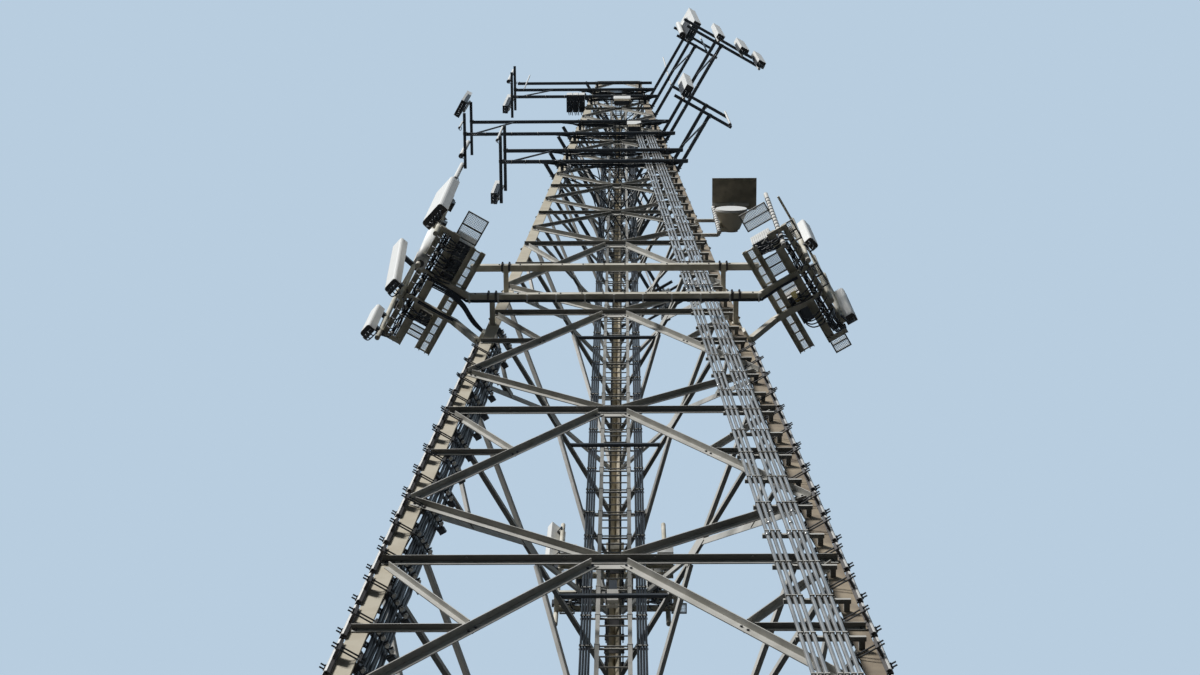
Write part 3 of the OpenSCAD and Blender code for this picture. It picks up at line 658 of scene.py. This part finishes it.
class Panels:
    """Radomes with end caps, connectors, pipe brackets and jumper cables."""

    def __init__(self, place):
        self.shells = Shape("radomes_" + place, "antenna_shell")
        self.caps = Shape("radome_ends_" + place, "sleeve_steel")
        self.gear = Shape("antenna_brackets_" + place, "dark_steel")
        self.plugs = Shape("antenna_plugs_" + place, "galvanized_steel")
        self.jumpers = Shape("antenna_jumpers_" + place, "cable_jacket")

    def add(self, at, w, d, z, h, turn, back=22, shift=0, lean=0):
        """A radome w wide, d deep and h tall, from z up, turned about the pipe at `at`."""
        at = at @ spin(math.radians(turn), "Z")
        front = PIPE_R + back
        body = at @ move(shift, front, z) @ spin(-math.radians(lean), "X")
        self.shells.prism(body, rounded(w, d, min(w, d) * 0.3), 0, h)
        inset = rounded(w - 6, d - 6, min(w, d) * 0.28)
        self.caps.prism(body @ move(0, 3, 0), inset, -3, 0.5)
        wide, tall = 16, 44
        for part in (0.14, 0.8):
            zb = z + h * part
            reach = front + h * part * math.tan(math.radians(lean)) + 1
            near, far = sorted((PIPE_R - 3, reach))
            self.gear.box(at, (-wide, -PIPE_R - 8, zb), (wide, -PIPE_R + 3, zb + tall))
            self.gear.box(at, (-wide, near, zb), (wide, far, zb + tall))
            for x in (-13, 13):
                self.gear.pin(at, x, -PIPE_R - 18, reach, zb + tall / 2, 4)
        self.tails(at @ move(0, 0, z), w, front + d * 0.45, PIPE_R, shift)

    def tails(self, at, w, out, pipe_r, shift=0):
        """Connectors under an antenna, each with a jumper that loops back to the pipe."""
        count = max(2, int(w / 30))
        for k in range(count):
            x = (k + 0.5) * w * 0.84 / count - w * 0.42 + shift
            self.plugs.post(at, x, out, -20, -2, 6.5, 8)
            self.gear.post(at, x, out, -34, -19, 5.5, 8)
            sag = 70 + 45 * chance.random()
            side = x * 0.6 + stray(22)
            self.jumpers.cable(at, ((x, out, -32), (x, out + 4, -sag),
                                    (side, out * 0.55, -sag - 26),
                                    (x * 0.2, pipe_r + 7, -40),
                                    (x * 0.1, pipe_r + 3, 30)), JUMPER_R)

    def dress(self, at, w, d, h, dark=0):
        """End cap, back plate and jumpers of a solid radome whose depth is in part, by the
        share `dark`, in a ribbed casing."""
        front, half = BOOM_PIPE_R + 8, w / 2
        depth = d * dark
        self.caps.box(at, (3 - half, front + 3, -3), (half - 3, front + d - 3, 0.5))
        self.caps.box(at, (4 - half, front - 4, h * 0.2), (half - 4, front + 0.5, h * 0.7))
        if dark:
            self.gear.box(at, (-half - 2, front - 5, -12), (half + 2, front + depth, h * 0.72))
            ribs = int(depth / 12)
            for k in range(ribs):
                y = front + (k + 0.5) * d * dark / ribs
                self.gear.box(at, (-half - 9, y - 1.5, h * 0.05), (half + 9, y + 1.5, h * 0.68))
                self.gear.box(at, (6 - half, y - 1.5, -20), (half - 6, y + 1.5, -11))
        foot = at @ move(0, 0, -12 if dark else 0)
        self.tails(foot, w, front + d * 0.45, BOOM_PIPE_R)

    def done(self, *replaced):
        if replaced:
            shells = self.shells.done()
            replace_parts(shells, *replaced)
        build(self.caps, self.gear, self.plugs, self.jumpers)


def lower_antennas_detail():
    """The antennas of the lower mounts, in the place of the part's plain ones."""
    left, at = Panels("left"), mount_at("left")
    left.add(at @ move(LEFT_PIPES[0], PIPE_Y, 0), 200, 76, 255, 1180, 13, back=3, shift=-8)
    left.add(at @ move(LEFT_PIPES[2], PIPE_Y, 0), 112, 62, -55, 1200, 13, back=34, lean=4)
    left.add(at @ move(LEFT_PIPES[3], PIPE_Y, 0), 96, 66, -70, 660, 13, shift=34)
    canister = at @ move(LEFT_PIPES[1] - 4, PIPE_Y - 12, 0)
    left.shells.post(canister, 0, 0, -52, 1000, 47, 32)
    left.shells.post(canister, 0, 0, -66, -51, 36, 32)
    left.caps.post(canister, 0, 0, -78, -65, 26, 20)
    left.done("antennas_left")
    right, at = Panels("right"), mount_at("right")
    right.add(at @ move(RIGHT_PIPES[0], PIPE_Y, 0), 78, 66, -90, 820, -90,
              back=-PIPE_R - 65, shift=-52)
    right.add(at @ move(RIGHT_PIPES[2], PIPE_Y, 0), 90, 60, 200, 700, -13)
    right.done("antennas_right")
    rear, at = Panels("rear"), mount_at("rear")
    rear.add(at @ move(REAR_PIPES[0] - PIPE_R, PIPE_Y, 0), 140, 76, 1240, 900, 40, back=6)
    rear.add(at @ move(REAR_PIPES[1], PIPE_Y, 0), 116, 62, 300, 1330, 0)
    rear.done("antennas_rear")


BOOM_PANELS = (
    # set, face, y, height over the level, width, depth, height, turn, share in a dark casing
    ("lower", 0, 290, -480, 115, 60, 900, 0, 0.5),
    ("lower", 120, 240, 200, 84, 126, 950, 0, 0.5),
    ("lower", -120, 200, -280, 115, 60, 900, 0, 0.5),
    ("middle", 0, -315, -1118, 200, 64, 1000, 29, 0.6),
    ("middle", 120, -40, -700, 90, 60, 1100, 0, 0),
    ("middle", 120, -340, -850, 104, 70, 900, 0, 0.5),
    ("middle", 120, -530, -1300, 90, 70, 850, 0, 0.5),
    ("middle", -120, -100, -1450, 90, 60, 1100, 0, 0.5),
    ("middle", -120, 300, -1500, 90, 60, 1100, 0, 0.5),
    ("upper", 0, 35, -1250, 100, 60, 1350, 0, 0.5),
    ("upper", 120, 44, -1650, 96, 240, 1600, 0, 0.62),
    ("upper", -120, 35, -700, 100, 60, 1200, 0, 0.5),
)
ROUND_ANTENNAS = (
    # set, face, y, height over the level, radius
    ("lower", 0, -335, -620, 12),
    ("lower", 120, -335, 230, 12),
    ("lower", -120, -335, -300, 12),
    ("middle", 0, -230, -2010, 10),
    ("middle", 0, 140, -1590, 26),
    ("middle", 0, 262, -2600, 26),
    ("upper", 0, -310, -1100, 22),
    ("upper", 120, 128, -1550, 34),
    ("upper", 120, -240, -1500, 10),
    ("upper", -120, -310, -800, 22),
)


def boom_antennas_detail():
    """Dark casings, end caps, connectors and jumpers of the antennas on the booms."""
    panels = Panels("booms")
    for place, face, y, over, w, d, h, turn, dark in BOOM_PANELS:
        pipe = move(-BOOM_ENDS[place] - BOOM_PANEL_OUT, y, s_at(boom_z(place, over)))
        panels.dress(face_frame(face) @ pipe @ spin(math.radians(90 + turn), "Z"), w, d, h, dark)
    for place, face, y, over, r in ROUND_ANTENNAS:
        end = move(-BOOM_ENDS[place] - ARM_R + 3 - r, y, s_at(boom_z(place, over)))
        at = face_frame(face) @ end
        panels.caps.post(at, 0, 0, -36, 30, r + 2, 20)
        panels.gear.post(at, 0, 0, -52, -35, min(r, 7), 10)
        panels.jumpers.cable(at, ((0, 0, -50), (4, 6, -110), (r + 12, 16, -100),
                                  (r + 14, 8, 20), (r * 0.9, 0, 120)), 4)
    panels.done()


def radio_casing(fins, bases, plugs, at, x0, x1, h):
    """Cooling fins down both sides and a dark base; gives the places of its connectors."""
    y0, y1 = DECK_Y
    count = round((y1 - y0) / 17)
    for k in range(count):
        y = y0 + 10 + k * (y1 - y0 - 20) / (count - 1)
        fins.box(at, (x0 - 6, y - 2, DECK + 16), (x1 + 6, y + 2, DECK + h - 16))
    bases.box(at, (x0 + 4, y0 + 10, DECK - 5), (x1 - 4, y1 - 28, DECK + 1))
    places = []
    for i in range(max(2, int((x1 - x0) / 30))):
        for part in (0.2, 0.45, 0.68):
            x, y = x0 + 20 + i * 28, y0 + (y1 - y0) * part
            plugs.post(at, x, y, DECK - 24, DECK - 4, 6, 8)
            places.append((x, y))
    return places


def lower_radios_detail():
    """Fins, bases and connectors of the lower radios, with black jumpers and white leads."""
    fins = Shape("radio_fins", "radio_shell")
    bases = Shape("radio_bases", "dark_steel")
    plugs = Shape("radio_plugs", "galvanized_steel")
    black = Shape("radio_jumpers", "cable_jacket")
    white = Shape("radio_leads", "antenna_shell")
    foot = DECK - 22
    for leg, rows, pipes in (("left", LEFT_RADIOS, LEFT_PIPES),
                             ("right", RIGHT_RADIOS, RIGHT_PIPES),
                             ("rear", REAR_RADIOS, REAR_PIPES)):
        at = mount_at(leg)
        for x0, x1, h in rows:
            places = radio_casing(fins, bases, plugs, at, x0, x1, h)
            for i, (x, y) in enumerate(places):
                near = min(pipes, key=lambda pipe: abs(pipe - x))
                drop = 34 + 40 * chance.random()
                sway = stray(50)
                if i % 3 == 1:
                    white.cable(at, ((x, y, foot), (x + sway * 0.4, y + 12, foot - drop * 0.7),
                                     (x + sway, y + 44, DECK - 30),
                                     (x + sway, CHANNEL_Y, DECK - 2)), 3)
                    continue
                black.cable(at, ((x, y, foot), (x, y + 14, DECK - 30 - drop),
                                 (x + sway, CHANNEL_Y + 10, DECK - 60 - drop * 0.6),
                                 (x + sway, OUTER_Y - 38, DECK - 10),
                                 ((x + near) / 2, OUTER_Y + 8, DECK + 60 + drop),
                                 (near, PIPE_Y - PIPE_R + 2, DECK + 150 + 2 * drop)), 4.4)
    build(fins, bases, plugs, black, white)


def main_cables():
    """Cables under the lower beam and along the arms of the side mounts, tied to them."""
    cables = Shape("mount_cables", "cable_jacket")
    ties = Shape("cable_ties", "antenna_shell")
    front, bundle = face_frame(FRONT), leg_line(LEFT, 1)
    left, right = mount_at("left"), mount_at("right")
    end = half_at(LOW_Z) + BEAM_OVER[0] - 20
    under = s_at(LOW_Z) - TUBE / 2
    steps = 10
    stations = [-end + i * 2 * end / steps for i in range(steps + 1)]
    for k, (y, r) in enumerate(((24, FEEDER_R), (15, 4.5))):
        along = [(x, -BEAM_OFF + y, under - 6 - k * 2 - 5 * (i % 2))
                 for i, x in enumerate(stations[1:-1], 1)]
        cables.cable(HERE, spots(left, (-110 + y, 500, 2), (-108 + y, 360, 6),
                                 (-100 + y, 230, 0))
                     + spots(front, (-end, -BEAM_OFF + y, under - 9), *along,
                             (end, -BEAM_OFF + y, under - 9))
                     + spots(right, (100 - y, 230, 0), (108 - y, 360, 6),
                             (110 - y, 500, 2)), r)
    face, low = -BEAM_OFF - TUBE / 2, under - 24
    for x in stations:
        ties.box(front, (x - 5, face - 3, low), (x + 5, -BEAM_OFF + 32, under + 2))
        ties.box(front, (x - 5, face - 3, low), (x + 5, face + 1, under + 30))
    for k in range(4):
        x, on_arm = -206 + k * 26, -84 + k * 11
        cables.cable(HERE, spots(left, (on_arm, 470, -2 - 4 * (k % 2)),
                                 (on_arm, 330, 0), (-60 + k * 10, 215, -30),
                                 (-10 + k * 9, 90, -120))
                     + spots(bundle, (x * 0.75, 64, LOW_Z - 420), (x, 34, LOW_Z - 720)),
                     FEEDER_R)
    for off in (88, 100):
        cables.cable(left, ((off, 500, 4), (off, 300, 8), (off * 0.9, 205, -16),
                            (off * 0.5, 90, -260), (off * 0.22, 36, -480),
                            (off * 0.2, -4, -640)), FEEDER_R)
    build(cables, ties)


def beam_plates():
    """The pale edge plates along the front of the two beams, with their bolts and clamps."""
    plates = Shape("beam_edge_plates", "galvanized_steel", "mount_steel")
    bolts = Shape("beam_plate_bolts", "dark_steel")
    clamps = Shape("beam_clamps", "sleeve_steel")
    front = face_frame(FRONT)
    y = -BEAM_OFF - TUBE / 2
    for z, over in ((LOW_Z, BEAM_OVER[0]), (LOW_Z + LOW_RISE, BEAM_OVER[1])):
        s, end = s_at(z), half_at(z) + over
        plates.box(front, (-end, y - 4, s - 24), (end, y + 0.5, s + 46))
        for k in range(14):
            x = -end + 60 + k * (2 * end - 120) / 13
            bolts.pin(front, x, y - 10, y - 3, s, 6)
        for tie in (40 - half_at(z), half_at(z) - 40):
            for x in (tie - 26, tie + 26):
                x0, x1 = x - 8, x + 8
                clamps.box(front, (x0, y - 12, s - 34), (x1, y - 3.5, s + 56))
                clamps.box(front, (x0, y - 12, s - 38), (x1, y + TUBE - 4, s - 29.5))
                for ds in (-18, 40):
                    bolts.pin(front, x, y - 20, y - 11, s + ds, 6)
    build(plates, bolts, clamps)


def mount_clutter():
    """Surge arrestors, runs of cable along the outer channels and junction boxes."""
    pale = Shape("surge_arrestors", "radio_shell")
    dark = Shape("mount_junction_boxes", "dark_steel")
    runs = Shape("channel_cables", "cable_jacket")
    middle = (CHANNEL_Y + OUTER_Y) / 2 + 3
    for leg, pipes, first, last in (("left", LEFT_PIPES, -430, 440),
                                    ("right", RIGHT_PIPES, -400, 330),
                                    ("rear", REAR_PIPES, -430, 400)):
        at = mount_at(leg)
        for k in range(5):
            path = []
            for i in range(16):
                x = first + (last - first) * i / 15
                y = middle - 16 + k * 8 + stray(10)
                path.append((x, y, DECK + 4 + 22 * chance.random()))
            runs.cable(at, path, 5, 3)
        for k in range(12):
            x = first + 30 + k * (last - first - 60) / 11 + stray(14)
            y = middle + stray(14)
            low = DECK - 40 - 30 * chance.random()
            pale.post(at, x, y, low, low + 110, 11, 12)
            dark.box(at, (x - 4, CHANNEL_Y + 20, low + 60), (x + 4, OUTER_Y - 18, low + 72))
            runs.cable(at, ((x, y, low + 4), (x + 6, y + 8, low - 44),
                            (x + 26, y + 40, low - 30),
                            (x + 30, OUTER_Y + 12, DECK - 20),
                            (x + 22, OUTER_Y + 14, DECK + 90)), JUMPER_R)
        for pipe in pipes:
            for z in (DECK + 60, LOW_RISE - 160):
                dark.box(at, (pipe - 34, OUTER_Y - 10, z),
                         (pipe + 34, PIPE_Y - PIPE_R + 1, z + 90))
    at = mount_at("right")
    dark.box(at, (-232, 376, 30), (-128, 460.5, 98))
    for k in range(4):
        x = -222 + k * 28
        runs.cable(at, ((x, 400, 34), (x - 6, 396, -40 - 16 * k),
                        (x - 40, 430, -70 - 12 * k), (x - 60, 500, -20),
                        (x - 50, 540, 96)), 5)
    for k in range(6):
        y = 560 + k * 13
        runs.cable(at, ((-366 + k * 4, y, -84), (-350, y - 6, -150 - 14 * (k % 3)),
                        (-290 + k * 6, y - 30, -140), (-262 + k * 5, y - 20, -20),
                        (-270 + k * 4, min(y, 600), 96)), 5)
    build(pale, dark, runs)


def top_cables():
    """Feeders from the ladder lines to the booms, along the booms and up the legs."""
    cables = Shape("top_feeders", "cable_jacket")
    ladder, front = leg_frame("rear"), face_frame(FRONT)
    inside = -ARM_OFF + ARM_R
    targets = []
    for place, over in FRONT_BOOMS[:1] + FRONT_BOOMS[2:]:
        z = boom_z(place, over)
        half = half_at(z)
        targets += [(x, s_at(z)) for x in (-half + 50, -half + 90, 20, half - 130, half - 60)]
    for i, (x, s) in enumerate(targets):
        side = -1 if i % 2 else 1
        line = side * (LINE_X + FEED_PITCH * (i % 4))
        drop = 260 + 160 * chance.random()
        cables.cable(HERE, spots(ladder, (line, -LADDER_GAP - 20, s - drop - 420),
                                 (line * 0.9, -LADDER_GAP - 60, s - drop - 150))
                     + spots(front, (x * 0.4 + line * 0.3, 190, s - drop),
                             (x * 0.9, 50, s - 120 - 60 * chance.random()),
                             (x, inside, s)), 6.5)
    for place, over in FRONT_BOOMS:
        s, half = s_at(boom_z(place, over)), half_at(boom_z(place, over))
        for k in range(4):
            path = [(-half - 150 + 30 * k, inside - 2, s + 4)]
            for i in range(1, 8):
                x = -half - 60 + (2 * half + 120) * i / 8
                y = inside + 4 + 11 * k + stray(10)
                path.append((x, y, s - 14 - 26 * chance.random()))
            path.append((half + 100 - 20 * k, inside - 2, s + 4))
            cables.cable(front, path, TRUNK_R, 3)
    first, last = s_at(upper_z(2)), s_at(boom_z("upper", UPPER_FRONT))
    for leg in ("left", "right"):
        for k in range(6):
            path = []
            for i in range(25):
                x = -34 + k * 14 + stray(9)
                y = -LEG_FLANGE - 24 - 14 * chance.random()
                path.append((x, y, first + (last - first - 500 * (k % 3)) * i / 24))
            cables.cable(leg_frame(leg), path, TRUNK_R, 3)
    cables.done()


def brass_fittings():
    """Rows of cable entries beside the middle of the right mount."""
    fittings = Shape("brass_fittings", "mast_paint", "brass_fittings")
    at = mount_at("right")
    for i in range(6):
        for j in range(2):
            fittings.post(at, -12 - i * 13, 408 + j * 18, 70, 92, 5, 8)
    fittings.box(at, (-84, 398, 90), (-4, 436, 99.5))
    fittings.done()


def dish_detail():
    """The dish's white cover and rim, and the dark bracket behind it."""
    cover = Shape("dish_cover", "antenna_shell")
    bracket = Shape("dish_bracket", "brown_steel")
    at = face_frame(FRONT) @ move(DISH_X, DISH_Y, s_at(girt_z(6)) + DISH_OVER)
    cover.pin(at, 0, -5, 0.5, 0, 134, 64)
    cover.pin(at, 0, 2, 16, 0, 138, 64)
    bracket.pin(at, 0, 174, 196, 0, 58, 32)
    bracket.box(at, (-92, 110, -52), (-40, 168, -20))
    bracket.box(at, (-104, 150, -70), (30, 190, -44))
    build(cover, bracket)


def upper_radios_detail():
    """White fronts, ribbed undersides and jumpers of the radios under the front booms."""
    fronts = Shape("upper_radio_fronts", "antenna_shell")
    ribs = Shape("upper_radio_ribs", "dark_steel")
    bodies = Shape("upper_radio_bodies", "brown_steel")
    plugs = Shape("upper_radio_plugs", "galvanized_steel")
    jumpers = Shape("upper_radio_jumpers", "cable_jacket")
    at = face_frame(FRONT)
    top = boom_z("upper", UPPER_FRONT)
    mid = boom_z("middle", MIDDLE_FRONT + MIDDLE_RISE)
    # Each as x, width, y, depth, the height it hangs from and how far it hangs
    units = [(-half_at(top) - 258 + k * 80, 74, -150, 220, s_at(top) - ARM_R, 280)
             for k in range(3)]
    units += [(-60, 220, -104, 66, s_at(top) - ARM_R, 330),
              (110, 165, -104, 66, s_at(mid) - ARM_R, 330)]
    for x, w, y, d, s, h in units:
        low, end, back = s - h, x + w, y + d
        if d < 100:
            bodies.box(at, (x + 12, y + 3, low - 170), (end - 12, back - 3, low - 12))
            ribs.box(at, (x + 16, y + 8, low - 178), (end - 16, back - 8, low - 168))
            for k in range(int(w / 18)):
                xk = x + 20 + k * 18
                bodies.box(at, (xk - 2, y - 7, low - 160), (xk + 2, y + 4, low - 22))
        fronts.box(at, (x + 2, y - 5, low + 3), (end - 2, y + 0.5, s - 4))
        ribs.box(at, (x + 2, y + 2, low - 3), (end - 2, back - 2, low + 0.5))
        for k in range(max(3, int(d / 16))):
            yk = y + 10 + k * 16
            if yk < back - 6:
                ribs.box(at, (x + 5, yk - 1.5, low - 14), (end - 5, yk + 1.5, low - 2))
        for i in range(int(w / 24)):
            px, py = x + 14 + i * 22, y + d * (0.35 + 0.3 * (i % 2))
            plugs.post(at, px, py, low - 30, low - 2, 5.5, 8)
            sag = 60 + 60 * chance.random()
            jumpers.cable(at, ((px, py, low - 28), (px, py + 8, low - sag),
                               (px + 20, back + 24, low - sag * 0.7),
                               (px + 10, back + 14, low + 90),
                               (px, back - 1, low + 170)), 4.4)
    low, mid_s = boom_z("lower", LOWER_FRONT), s_at(mid)
    for k in range(3):
        dx = k * 12
        jumpers.cable(at, ((-640 + dx, -ARM_OFF - 12, s_at(low) - 16),
                           (-560 + dx, -ARM_OFF + 4, s_at(low) - 60 - 10 * k),
                           (-500 + k * 14, -ARM_OFF + 30, s_at(low) - 150),
                           (-half_at(low) + 40 + k * 14, 20, s_at(low) - 380)), TRUNK_R)
        dx = k * 16
        jumpers.cable(at, ((200 + dx, -ARM_OFF, mid_s - 330),
                           (300 + dx, -ARM_OFF - 30, mid_s - 400 - 12 * k),
                           (half_at(mid) + 20, -ARM_OFF - 26, mid_s - 220),
                           (half_at(mid) + 60, -ARM_OFF - 14, mid_s - 10)), TRUNK_R)
    build(fronts, ribs, bodies, plugs, jumpers)


def boom_fittings():
    """U-bolts on the boom pipes, and a cable with its ties along the lowest of each set."""
    bolts = Shape("boom_bolts", "galvanized_steel")
    cables = Shape("boom_cables", "cable_jacket")
    ties = Shape("boom_cable_ties", "antenna_shell")
    # For each set the number of booms one over another, and face, height and rise of each row
    rows = {"lower": (2, ((0, LOWER_FRONT, 860), (120, 294, 740), (-120, -236, 800))),
            "middle": (2, ((0, MIDDLE_FRONT, MIDDLE_RISE), (120, -634, 730), (-120, -1364, 900))),
            "upper": (3, ((0, UPPER_FRONT, 840), (120, -1397, 925), (-120, -652, 1030)))}
    back = -ARM_OFF - ARM_R
    for place, (count, faces) in rows.items():
        end = BOOM_ENDS[place]
        for face, over, rise in faces:
            at = face_frame(face)
            for k in range(count):
                z = boom_z(place, over + k * rise)
                s, half = s_at(z), half_at(z)
                for x in (-end + 24, -end - 14, -half + 40, -half + 76, half - 40, half - 76):
                    bolts.post(at, x, back - 5, s - 16, s + 16, STUD_R)
                    for ds in (-18, 18):
                        bolts.pin(at, x, back - 4, -ARM_OFF + 6, s + ds, STUD_R)
                if k == 0:
                    places = [-end * far - half * near for far, near in
                              ((0.8, 0.2), (0.6, 0.4), (0.4, 0.6), (0.2, 0.8))]
                    path = [(x, -ARM_OFF + 2, s - ARM_R - 4 - 3 * (i % 2))
                            for i, x in enumerate([-end + 30, *places, -half + 10])]
                    cables.tube(at, path, FEEDER_R, 8)
                    for part in (0.2, 0.45, 0.7):
                        x = -end + (end - half) * part
                        bar = (x - 5, -ARM_OFF, s), (x + 5, -ARM_OFF, s)
                        ties.tube(at, bar, ARM_R + 2.5, 16)
    build(bolts, cables, ties)


def ladder_boxes():
    """The pale junction box behind the ladder, with the dark clamp above it."""
    pale = Shape("junction_box", "mast_paint")
    dark = Shape("junction_box_clamp", "dark_steel")
    at = leg_frame("rear")
    pale.box(at, (-43, -446, 13937), (26, -392, 14115))
    dark.box(at, (-32, -440, 14132), (19, -390, 14281))
    for x in (-30, -8, 14):
        pale.post(at, x, -420, 13905, 13938, 6, 8)
    build(pale, dark)


def banded_pipes():
    """Dark bands round the dish mast and the pipe at the end of the right mount."""
    bands = Shape("pipe_bands", "dark_steel")
    pitch, tall = 118, 34
    end_pipe = mount_at("right") @ move(*END_PIPE, 0)
    mast = face_frame(FRONT) @ move(*DISH_MAST, s_at(girt_z(6)))
    for at, first, count in ((end_pipe, -140, 16), (mast, 180, 11)):
        for k in range(count):
            z = first + k * pitch
            bands.post(at, 0, 0, z, z + tall, MAST_R + 2, 16)
    bands.done()


def add_floor():
    """A plain pale floor that keeps the shadow."""
    bpy.ops.mesh.primitive_plane_add(size=FLOOR_SIZE, location=(0.0, 0.0, 0.0))
    floor = bpy.context.object
    floor.name = "floor"
    paint = make_material("floor_paint", (0.72, 0.72, 0.72), (0.69, 0.69, 0.69), 0.9)
    floor.data.materials.append(paint)


def add_light():
    """A soft key from the left, a sky that is brighter above, and a pale backdrop."""
    world = bpy.data.worlds.new("studio")
    bpy.context.scene.world = world
    world.use_nodes = True
    tree = world.node_tree
    coord = tree.nodes.new("ShaderNodeTexCoord")
    split = add_node(tree, "SeparateXYZ", {"Vector": coord.outputs["Generated"]})
    fill = tree.nodes["Background"]
    feed(tree, fill, {"Strength": ramp(tree, split.outputs["Z"], *SKY_RISE, SKY_BELOW, SKY_ABOVE)})
    backdrop = add_node(tree, "Background", {"Color": BACKDROP})
    path = tree.nodes.new("ShaderNodeLightPath")
    seen = path.outputs["Is Camera Ray"]
    for also in ("Is Glossy Ray", "Is Transmission Ray"):
        either = add_node(tree, "Math", {0: seen, 1: path.outputs[also]})
        either.operation = "MAXIMUM"
        seen = either.outputs["Value"]
    pick = add_node(tree, "MixShader", {"Fac": seen, 1: fill.outputs["Background"],
                                        2: backdrop.outputs["Background"]})
    feed(tree, tree.nodes["World Output"], {"Surface": pick.outputs["Shader"]})
    sun_data = bpy.data.lights.new("key", "SUN")
    sun_data.energy = SUN_POWER
    sun_data.angle = SUN_ANGLE
    sun = bpy.data.objects.new("key", sun_data)
    sun.rotation_euler = (math.radians(SUN_TILT), 0.0, math.radians(SUN_TURN))
    bpy.context.collection.objects.link(sun)


def add_camera():
    """The photograph's camera, from its place, its angles and its focal length."""
    data = bpy.data.cameras.new("camera")
    data.sensor_width = SENSOR_W
    data.lens = CAM_FOCAL_PX / FRAME_W * data.sensor_width
    data.clip_end = CLIP_END
    cam = bpy.data.objects.new("camera", data)
    cy, sy = math.cos(CAM_YAW), math.sin(CAM_YAW)
    ct, st = math.cos(CAM_PITCH), math.sin(CAM_PITCH)
    cr, sr = math.cos(CAM_ROLL), math.sin(CAM_ROLL)
    right = Vector((cy, -sy, 0.0))
    ahead = Vector((sy * ct, cy * ct, st))
    up = Vector((-sy * st, -cy * st, ct))
    x_axis = cr * right - sr * up
    y_axis = sr * right + cr * up
    turn = Matrix((x_axis, y_axis, -ahead)).transposed()
    cam.matrix_world = Matrix.Translation(CAM_AT) @ turn.to_4x4()
    bpy.context.collection.objects.link(cam)
    bpy.context.scene.camera = cam


add_camera()
sleeve_clamps()
for face, turn in (("front", FRONT), ("right", RIGHT), ("left", LEFT)):
    face_bolts(face, turn)
conduit_clamps()
feed_clamps()
left_feed_lines()
gratings()
lower_antennas_detail()
lower_radios_detail()
boom_antennas_detail()
boom_fittings()
upper_radios_detail()
main_cables()
beam_plates()
mount_clutter()
top_cables()
brass_fittings()
dish_detail()
ladder_boxes()
banded_pipes()
add_floor()
add_light()
bpy.context.scene.view_settings.view_transform = "Standard"
